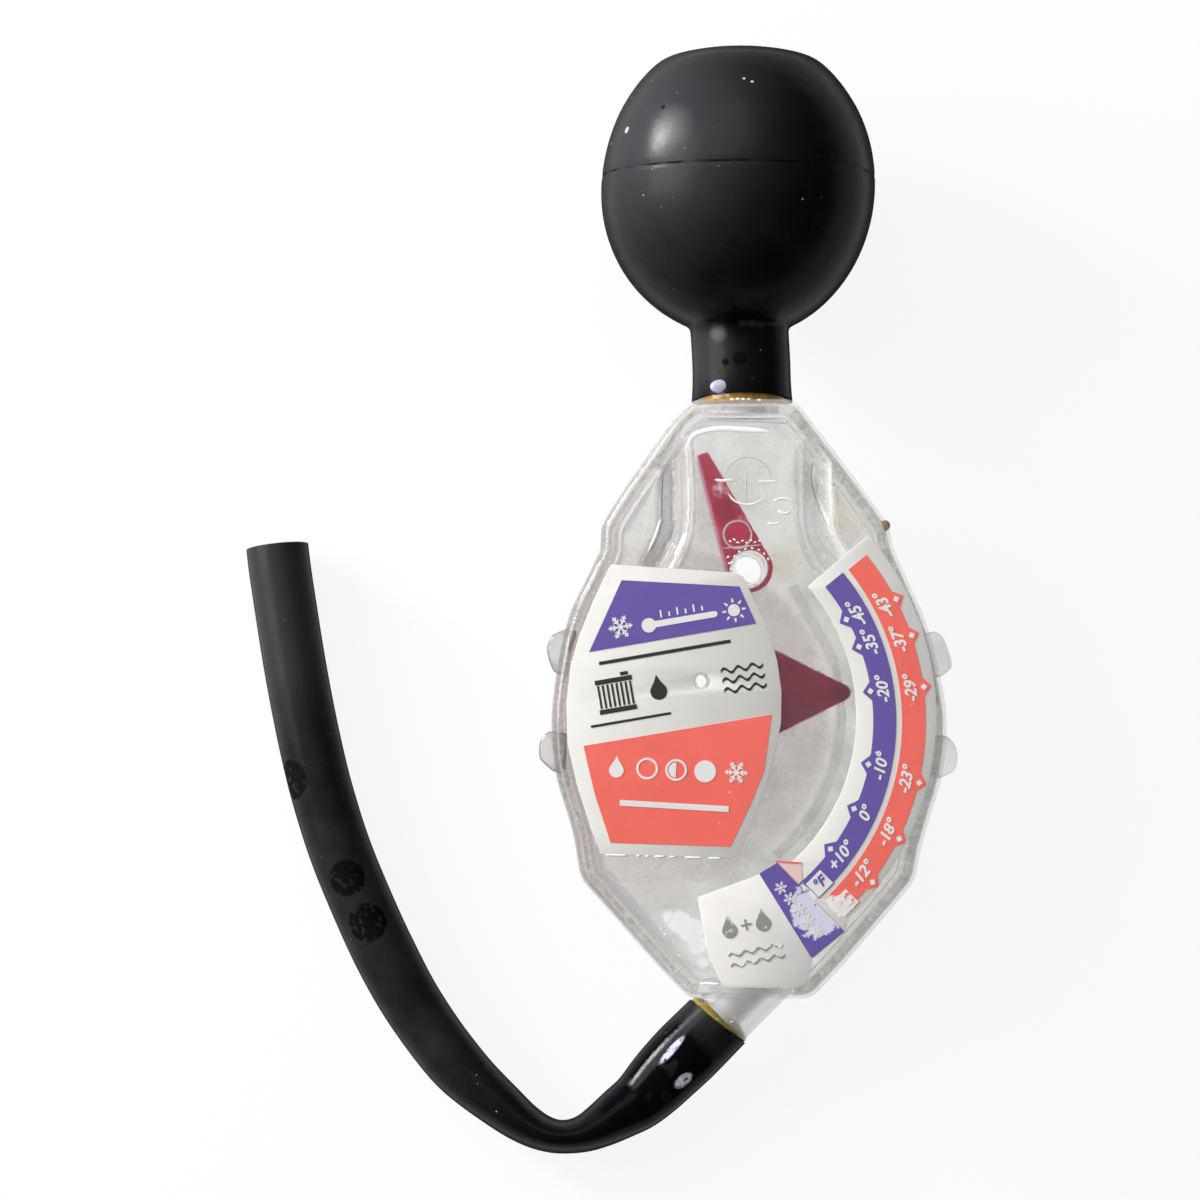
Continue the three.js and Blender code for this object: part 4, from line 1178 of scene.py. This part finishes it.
def tube(name, spot, outer, inner, low, high, material):
    edge = 0.15
    profile = [
        (inner, low), (outer - edge, low), (outer, low + edge), (outer, high - edge),
        (outer - edge, high), (inner, high),
    ]
    return add(name, lathe(name, profile, 64, Matrix.Translation(spot), upright=True), material)


def make_posts(material):
    post = tube("level_post", LEVEL, *LEVEL_POST, -BACK_DEPTH, FRONT_DEPTH, material)
    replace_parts(post, "level_arm_post")
    post = tube("pointer_stop_post", STOP, *STOP_POST, -BACK_DEPTH, FRONT_DEPTH, material)
    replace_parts(post, "stop_post")
    tube("pivot_boss_front", PIVOT, *PIVOT_BOSS, PIVOT_BOSS_GAP, FRONT_DEPTH - WALL + 0.1, material)
    tube("pivot_boss_back", PIVOT, *PIVOT_BOSS, FLOOR, -PIVOT_BOSS_GAP, material)
    tube("level_boss_back", LEVEL, *LEVEL_BOSS, FLOOR, -LEVEL_BOSS_GAP, material)


def at_spigot(tilt=0.0):
    """The spigot's own frame: its end at zero, and y back along it."""
    return Matrix.Translation(SPIGOT_END) @ Matrix.Rotation(SPIGOT_ANGLE + math.pi / 2 + tilt, 4, "Z")


def make_neck_and_spigot(material):
    root, end = HALF_LENGTH - FLANGE_WALL, HALF_LENGTH + STUB_LENGTH
    profile = [
        (STUB_BORE, root), (STUB_RADIUS, root), (STUB_RADIUS, end - 0.4), (STUB_RADIUS - 0.4, end),
        (STUB_BORE, end),
    ]
    add("neck_tube", lathe("neck_tube", profile, 64, leaning=True), material)
    profile = [
        (SPIGOT_BORE, -BARB_LENGTH), (BARB_RADIUS - 0.3, -BARB_LENGTH), (BARB_RADIUS, -BARB_LENGTH + 1.2),
        (BARB_RADIUS, 1.1), (SPIGOT_RADIUS, 1.1), (SPIGOT_RADIUS, SPIGOT_TOP), (SPIGOT_BORE, SPIGOT_TOP),
    ]
    add("spigot", lathe("spigot", profile, 64, at_spigot()), material)


def make_lugs(front, back):
    for where, loop in LUGS.items():
        mesh = flat("lug_front_" + where, [rounded(loop)], HALF_GAP, LUG_DEPTH, LUG_EDGE, 3)
        add("lug_front_" + where, mesh, back if "left" in where else front)
        mesh = flat("lug_back_" + where, [rounded(loop)], -LUG_DEPTH, -HALF_GAP, LUG_EDGE, 3)
        add("lug_back_" + where, mesh, back)


# Labels
def polar(radius, degrees):
    angle = math.radians(degrees)
    return PRINT_CENTRE.x + radius * math.cos(angle), PRINT_CENTRE.y + radius * math.sin(angle)


def sticker(name, loops, material, sunk=0.0):
    mesh = flat(name, loops, LABEL_LEVEL, LABEL_LEVEL + LABEL_THICK - sunk, LABEL_EDGE)
    return add(name, mesh, material)


def artwork(name, loops, material, level):
    add(name, flat(name, loops, level, level + INK_THICK), material)


def words(name, text, spot, size, turn, material, level):
    """Numerals lying on the dial, bold, turned in degrees."""
    curve = bpy.data.curves.new(name, "FONT")
    curve.body = text
    curve.size = size
    curve.align_x = "CENTER"
    curve.align_y = "CENTER"
    curve.offset = NUMERAL_BOLDNESS * size
    curve.shear = NUMERAL_SLANT
    curve.extrude = INK_THICK / 2
    place = Matrix.Translation((*spot, level + INK_THICK / 2)) @ Matrix.Rotation(math.radians(turn), 4, "Z")
    add(name, from_curve(name, curve, place), material)


def make_name_label(inks):
    made = sticker("name_sticker", [NAME_LABEL, disc(STOP_HOLE, STOP, 24)], inks["paper"])
    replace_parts(made, "name_label")
    artwork("name_purple_field", [NAME_PURPLE], inks["purple"], FIRST)
    artwork("name_coral_field", [NAME_CORAL], inks["coral"], FIRST)
    artwork("name_rule", [NAME_BAR], inks["white"], SECOND)

    # Cold on the left, hot on the right, along the field's slant
    marks = [(snowflake(), -22.2, 12.3, 2.1), (thermometer(9.2), -17.3, 12.6, 1.25), (sun(), -2.6, 15.2, 2.1)]
    artwork("name_purple_marks", placed(marks, NAME_SLANT), inks["white"], SECOND)

    # A cooler, a drop and the liquid's waves between two rules
    waves = wave(7.4, 0.42, 0.5, 3)
    marks = [
        (radiator(), -23.0, 0.6, 1.9), (droplet(), -15.6, 1.2, 1.45), (waves, -4.9, 4.6), (waves, -4.6, 2.9),
        (waves, -4.3, 1.2), ([bar(11.5, 0, 11.5, 0.3)], -25.9, 6.0), ([bar(7, 0, 7, 0.22)], -27.3, -4.9),
    ]
    artwork("name_black_marks", placed(marks, NAME_SLANT), inks["black"], FIRST)

    # The mix: an empty, a half-full and a full round, between a drop and a flake
    ring, half = [disc(1.25), disc(1)], arc((0, 0), 0.86, 90, 270, 20)
    marks = [
        (droplet(), -22.9, -12.4, 1.25), (ring, -17.6, -12.1, 1.5), ([*ring, half], -12.6, -12.35, 1.5),
        (ring[:1], -7.6, -12.6, 1.5), (snowflake(), -2.2, -12.8, 2.0),
    ]
    artwork("name_coral_marks", placed(marks, MIX_SLANT), inks["white"], SECOND)


def band_loop(radii, span, marks, outward):
    """An arc's band with a peak on one edge at each mark."""
    angles = np.linspace(*span, 90)
    inner, outer = ([polar(radius, angle) for angle in angles] for radius in radii)
    peaked, other = (outer, inner) if outward else (inner, outer)
    radius = radii[1] if outward else radii[0]
    reach = PEAK_REACH if outward else -PEAK_REACH
    wide = math.degrees(PEAK_HALF / radius)
    centres = [degrees for _, degrees in marks]
    line = [pair for pair in zip(angles, peaked) if all(abs(pair[0] - c) > wide for c in centres)]
    for c in centres:
        for offset, lift in ((wide, 0), (0, reach), (-wide, 0)):
            line.append((c + offset, polar(radius + lift, c + offset)))
    line.sort(key=lambda pair: -pair[0])
    return [*(spot for _, spot in line), *other[::-1]]


def make_scale_label(inks):
    scale = [
        *arc(PIVOT, SCALE_RADII[1], *SCALE_ANGLES, 60), *SCALE_FOOT,
        *arc(PIVOT, SCALE_RADII[0], SCALE_ANGLES[1] - 1, SCALE_ANGLES[0], 60),
    ]
    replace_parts(sticker("scale_sticker", [scale], inks["paper"]), "scale_label")
    sticker("tab_sticker", [TAB], inks["tab_paper"], TAB_SUNK)
    bands = (
        ("purple", PURPLE_BAND, PURPLE_SPAN, FAHRENHEIT, False, -0.1, 0.15, "f"),
        ("coral", CORAL_BAND, CORAL_SPAN, CELSIUS, True, 0.1, -0.1, "c"),
    )
    for tone, radii, span, marks, outward, *_ in bands:
        ink = inks["band_purple" if tone == "purple" else "coral"]
        artwork(f"scale_{tone}_band", [band_loop(radii, span, marks, outward)], ink, FIRST)
    for _, radii, _, marks, outward, out_of_edge, off_middle, tag in bands:
        for number, (text, degrees) in enumerate(marks):
            spot = polar(radii[outward] + out_of_edge, degrees)
            artwork(f"diamond_{tag}{number}", moved([DIAMOND], *spot, degrees), inks["white"], SECOND)
            spot = polar(sum(radii) / 2 + off_middle, degrees)
            name, turn = f"numeral_{tag}{number}", degrees + 90
            words(name, text + "°", spot, NUMERAL_SIZE, turn, inks["white"], SECOND)
    artwork("lower_strip", [LOWER_STRIP], inks["worn_purple"], SECOND)
    marks = []
    for share in (0.14, 0.32, 0.5, 0.68, 0.86):
        marks.append((snowflake(), *STRIP_START.lerp(STRIP_END, share), 1.15))
    artwork("lower_strip_marks", placed(marks, 20), inks["white"], THIRD)
    for name, spot, text, ink in (
        ("fahrenheit", (12.1, -31.9), "°F", inks["purple"]),
        ("celsius", (16.5, -35.2), "°C", inks["coral"]),
    ):
        artwork(name + "_box_edge", moved([bar(0, 0, 1.9, 1.75)], *spot, UNIT_TURN), ink, FIRST + 0.5 * STEP)
        artwork(name + "_box", moved([bar(0, 0, 1.75, 1.6)], *spot, UNIT_TURN), inks["white"], SECOND)
        words(name + "_unit", text, spot, UNIT_SIZE, UNIT_TURN, ink, THIRD)

    # The tab: two drops joined by a plus sign, over two waves
    waves = wave(9.5, 0.32, 0.34, 4)
    marks = [
        (droplet(), -3.4, -40.0, 1.3), (droplet(), 2.4, -38.8, 1.3), ([bar(0, 0, 0.9, 0.16)], -0.6, -39.0),
        ([bar(0, 0, 0.16, 0.4)], -0.72, -38.45), ([bar(0, 0, 0.16, 0.4)], -0.48, -39.55),
        (waves, -3.6, -44.4), (waves, -3.2, -46.2),
    ]
    artwork("tab_marks", placed(marks, TAB_SLANT), inks["faded"], FIRST)
    artwork("pale_pink_field", [PINK_FIELD], inks["pink"], FIRST)
    artwork("pale_pink_rule", [band(PINK_FIELD[:2], 0.3)], inks["coral"], SECOND)


# Cement
def jittered(mesh, rng, most):
    """The mesh with its points moved at random, by this many metres at most each way."""
    for vertex in mesh.vertices:
        vertex.co += Vector((rng.uniform(-1, 1), rng.uniform(-1, 1), rng.uniform(-1, 1))) * most
    return mesh


def make_cement(amber, olive):
    rng = random.Random(4)
    low, high, wide, inner = HALF_LENGTH - 0.7, NECK_END + 1.2, NECK_RADIUS - 0.3, STUB_RADIUS + 0.15
    profile = [
        (inner, low), (wide - 0.4, low), (wide, low + 0.4), (wide - 0.1, NECK_END - 0.3), (wide - 0.8, high),
        (inner, high),
    ]
    mesh = jittered(lathe("neck_cement", profile, 96, leaning=True), rng, 0.06 * MM)
    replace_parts(add("neck_cement", mesh, amber, sharp=60), "bulb_sealant")
    inner, wide = BARB_RADIUS + 0.2, SPIGOT_RADIUS + 0.1
    profile = [
        (inner, 0.1), (wide, 0.1), (wide + 0.25, 0.4), (wide, 0.9), (wide - 0.6, 1.2),
        (inner, CEMENT_WIDTH + 0.2),
    ]
    mesh = jittered(lathe("hose_cement", profile, 72, at_spigot(HOSE_END_TILT)), rng, 0.04 * MM)
    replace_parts(add("hose_cement", mesh, olive, sharp=60), "hose_sealant")


def drop(name, rings, sides, spot, size, material, tip=0.01):
    """A drop with half sizes, upright at a place, flat at its tips by a share of its width."""
    angles = np.linspace(-math.pi / 2, math.pi / 2, rings)
    profile = [(max(math.cos(a), tip), math.sin(a)) for a in angles]
    place = Matrix.Translation(spot) @ Matrix.Diagonal((*size, 1))
    add(name, lathe(name, profile, sides, place, upright=True), material)


def make_seam(clear, amber):
    """The cement between the halves, a strip on each side, and the drop squeezed out on the right."""
    outer, inner = inset(0.12), inset(FLANGE_WALL - 0.3)
    for side, name in ((-1, "left"), (1, "right")):
        chosen = [i for i in range(len(RIM)) if side * RIM[i, 0] > SEAM_GAP]
        breaks = [k for k in range(1, len(chosen)) if chosen[k] - chosen[k - 1] > 1]
        if breaks:
            chosen = chosen[breaks[0]:] + chosen[:breaks[0]]
        loop = [tuple(outer[i]) for i in chosen] + [tuple(inner[i]) for i in reversed(chosen)]
        mesh = flat("seam_" + name, [loop], -HALF_GAP, HALF_GAP)
        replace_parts(add("seam_" + name, mesh, clear), "seam_sealant_" + name)
    size = (DROP_RADIUS, DROP_RADIUS, 0.8 * DROP_RADIUS)
    drop("seam_drop", 13, 24, DROP, size, amber, DROP_TIP / DROP_RADIUS)


def make_drops(wet, bright):
    """The wet drop on the neck, coloured as its painted highlight, and the painted glints on the cement and
    the spigot.
    """
    spot = Vector(on_bulb(*NECK_DROP)) - NECK_DROP_SUNK
    drop("neck_wet_drop", 11, 20, spot, NECK_DROP_SIZE, wet)
    for name, spots, height, size in (
        ("cement_glint_", CEMENT_GLINTS, CEMENT_GLINT_HEIGHT, CEMENT_GLINT_SIZE),
        ("spigot_glint_", SPIGOT_GLINTS, SPIGOT_GLINT_HEIGHT, SPIGOT_GLINT_SIZE),
    ):
        for number, spot in enumerate(spots):
            drop(f"{name}{number}", 11, 20, Vector((*spot, height)), size, bright)


def make_marks(bright, soft, faint):
    """Beads on the face along moulded lines and glints, white or pale as painted highlights and grey as
    painted shade lines, and painted glints by the label's edge and the level arm's post.
    """
    for lines, material in ((BRIGHT_LINES, bright), (SOFT_LINES, soft), (FAINT_LINES, faint)):
        for name, (line, width, height) in lines.items():
            ridge(name, line, width, height, material)
    rng = random.Random(7)
    for number, (x, y) in enumerate(DASHES):
        long = rng.uniform(0.25, 0.4)
        way = rng.uniform(-0.6, 0.6)
        across, up = long * math.cos(way), long * math.sin(way)
        line = [(x - across, y - up), (x, y), (x + across, y + up)]
        ridge(f"dash_{number}", line, *DASH_SIZE, bright)
    left, top = EDGE_GLINT_START
    for number, (start, end) in enumerate(EDGE_GLINTS):
        line = [(x, top - EDGE_GLINT_FALL * (x - left)) for x in np.linspace(start, end, 4)]
        ridge(f"edge_{number}", line, *EDGE_GLINT_SIZE, bright, LABEL_LEVEL)
    for number in range(HUB_GLINTS):
        angle = math.radians(HUB_GLINT_START + HUB_GLINT_TURN * number)
        spot = LEVEL + HUB_GLINT_RADIUS * Vector((math.cos(angle), math.sin(angle), 0))
        way = rng.uniform(-0.3, 0.3) + angle + math.pi / 2
        step = HUB_GLINT_REACH * Vector((math.cos(way), math.sin(way), 0))
        ridge(f"hub_{number}", [(spot + step * k).to_2d() for k in (-1, 0, 1)], *HUB_GLINT_SIZE, bright)


# Light and floor
def mixed(tree, output, share, first, second):
    """Two shaders mixed by a share, at a tree's output."""
    both = node(tree, "ShaderNodeMixShader", {0: share, 1: first.outputs[0], 2: second.outputs[0]})
    node(tree, output, {0: both.outputs[0]})


def make_light():
    """The lamps, and a world that is white for the rays that see the background."""
    world = bpy.data.worlds.new("world")
    bpy.context.scene.world = world
    world.use_nodes = True
    tree = world.node_tree
    tree.nodes.clear()
    rays = node(tree, "ShaderNodeLightPath").outputs
    soft = node(tree, "ShaderNodeBackground", {"Color": GLINT, "Strength": WORLD_LEVEL})
    white = node(tree, "ShaderNodeBackground", {"Color": GLINT, "Strength": 1.0})
    seen = maths(tree, "MAXIMUM", rays["Is Camera Ray"], rays["Is Transmission Ray"])
    within = maths(tree, "GREATER_THAN", rays["Transmission Depth"], 0.5)
    within = maths(tree, "MULTIPLY", within, rays["Is Glossy Ray"])
    mixed(tree, "ShaderNodeOutputWorld", maths(tree, "MAXIMUM", seen, within), soft, white)
    for name, (spot, size, power) in LAMPS.items():
        data = bpy.data.lights.new(name, "AREA")
        data.size = size
        data.energy = power
        lamp = bpy.data.objects.new(name, data)
        bpy.context.scene.collection.objects.link(lamp)
        away = LAMP_TARGET - Vector(spot)
        lamp.matrix_world = Matrix.Translation(spot) @ away.to_track_quat("-Z", "Y").to_matrix().to_4x4()


def make_floor():
    """A pale floor that keeps the object's shadow and is white for the rays that see it."""
    mesh = bpy.data.meshes.new("floor")
    mesh.from_pydata([(x, y, -FLOOR_DROP) for x, y in bar(0, 0, FLOOR_HALF, FLOOR_HALF)], [], [(0, 1, 2, 3)])
    material = bpy.data.materials.new("floor")
    material.use_nodes = True
    tree = material.node_tree
    tree.nodes.clear()
    matt = node(tree, "ShaderNodeBsdfDiffuse", {"Color": FLOOR_TONE})
    white = node(tree, "ShaderNodeEmission", {"Color": GLINT, "Strength": 1.0})
    rays = node(tree, "ShaderNodeLightPath").outputs
    seen = maths(tree, "MAXIMUM", rays["Is Camera Ray"], rays["Is Glossy Ray"])
    seen = maths(tree, "MAXIMUM", seen, rays["Is Transmission Ray"])
    mixed(tree, "ShaderNodeOutputMaterial", maths(tree, "MULTIPLY", seen, FLOOR_WHITE), matt, white)
    mesh.materials.append(material)
    made = bpy.data.objects.new("floor", mesh)
    bpy.context.scene.collection.objects.link(made)


def dress_cad(name, material, edge_width=0.12):
    """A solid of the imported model, with a material and rounded edges."""
    made = frame["nodes"][name]
    made.data.materials.clear()
    made.data.materials.append(material)
    edge = made.modifiers.new("edge", "BEVEL")
    edge.width = edge_width * MM
    edge.segments = 2
    edge.limit_method = "ANGLE"
    edge.angle_limit = math.radians(40)


bpy.context.scene.view_settings.view_transform = "Standard"
make_camera()
make_hose(rubber("hose_rubber", HOSE_TONES, HOSE_MARKS, HOSE_PAINTED_SHADING, HOSE_WET, HOSE_GLINTS))
marks, painted_shading = lifted_to_bulb(BULB_MARKS), lifted_to_bulb(BULB_PAINTED_LIGHT)
make_bulb(rubber("bulb_rubber", BULB_TONES, marks, painted_shading, seam=SEAM_HEIGHT))
front_clear = clear_plastic("front_clear", CLEAR, 0.985, 1, wall=0.3, glare=GLARE)
back_clear = clear_plastic("back_clear", HAZE, 0.7, 0.88, rough=0.2, wall=0.35, well=True)
inner_clear = clear_plastic("inner_clear", TINTED, 0.8, 1, rough=0.1)
make_shells(front_clear, back_clear)
make_ribs(inner_clear)
make_posts(clear_plastic("post_clear", HAZE, 0.5, 0.7, rough=0.2, wall=0.12))
make_neck_and_spigot(clear_plastic("tube_clear", TINTED, 0.45, 0.6, rough=0.15))
make_lugs(front_clear, inner_clear)
inks = {
    "paper": printed("paper", PAPER),
    "tab_paper": printed("tab_paper", TAB_PAPER),
    "purple": printed("purple_ink", PURPLE, wear=0.3),
    "band_purple": printed("band_purple_ink", PURPLE, wear=0.3, worn_and_glare=BAND_WORN),
    "worn_purple": printed("worn_purple_ink", PURPLE, wear=0.3, worn_and_glare=STRIP_WORN, bare=LAVENDER),
    "coral": printed("coral_ink", CORAL, wear=0.3, worn_and_glare=CORAL_WORN),
    # The tab's ink is washed pale by a painted glare
    "faded": printed("faded_ink", FADED, worn_and_glare=TAB_GLARE),
    "pink": printed("pink_ink", PINK),
    "black": printed("black_ink", INK),
    "white": printed("white_ink", WHITE_INK),
}
make_name_label(inks)
make_scale_label(inks)
amber = cement("amber", AMBER)
make_cement(amber, cement("olive", OLIVE))
make_seam(cement("clear_cement", CEMENT, alpha=0.35), amber)
glint = plain("glint", GLINT, 0.2)
make_drops(plain("wet", WET_DROP_HIGHLIGHT, 0.1), glint)
make_marks(glint, plain("soft_glint", SOFT_GLINT, 0.4), plain("shade_line", SHADE_LINE, 0.4))
dress_cad("pointer_float", coloured_plastic("maroon", MAROON, shade=POINTER_SHADE, scratched=0.45), 0.25)
dress_cad("level_arm", coloured_plastic("crimson", CRIMSON, ARM_FROST, ARM_SHADE, painted_edge_highlight=True))
dress_cad("level_arm_plug", coloured_plastic("crimson_plug", CRIMSON))
dress_cad("pointer_weight", metal("brass", BRASS, 0.3))
dress_cad("pointer_pivot_pin", metal("steel", STEEL, 0.25))
make_light()
make_floor()
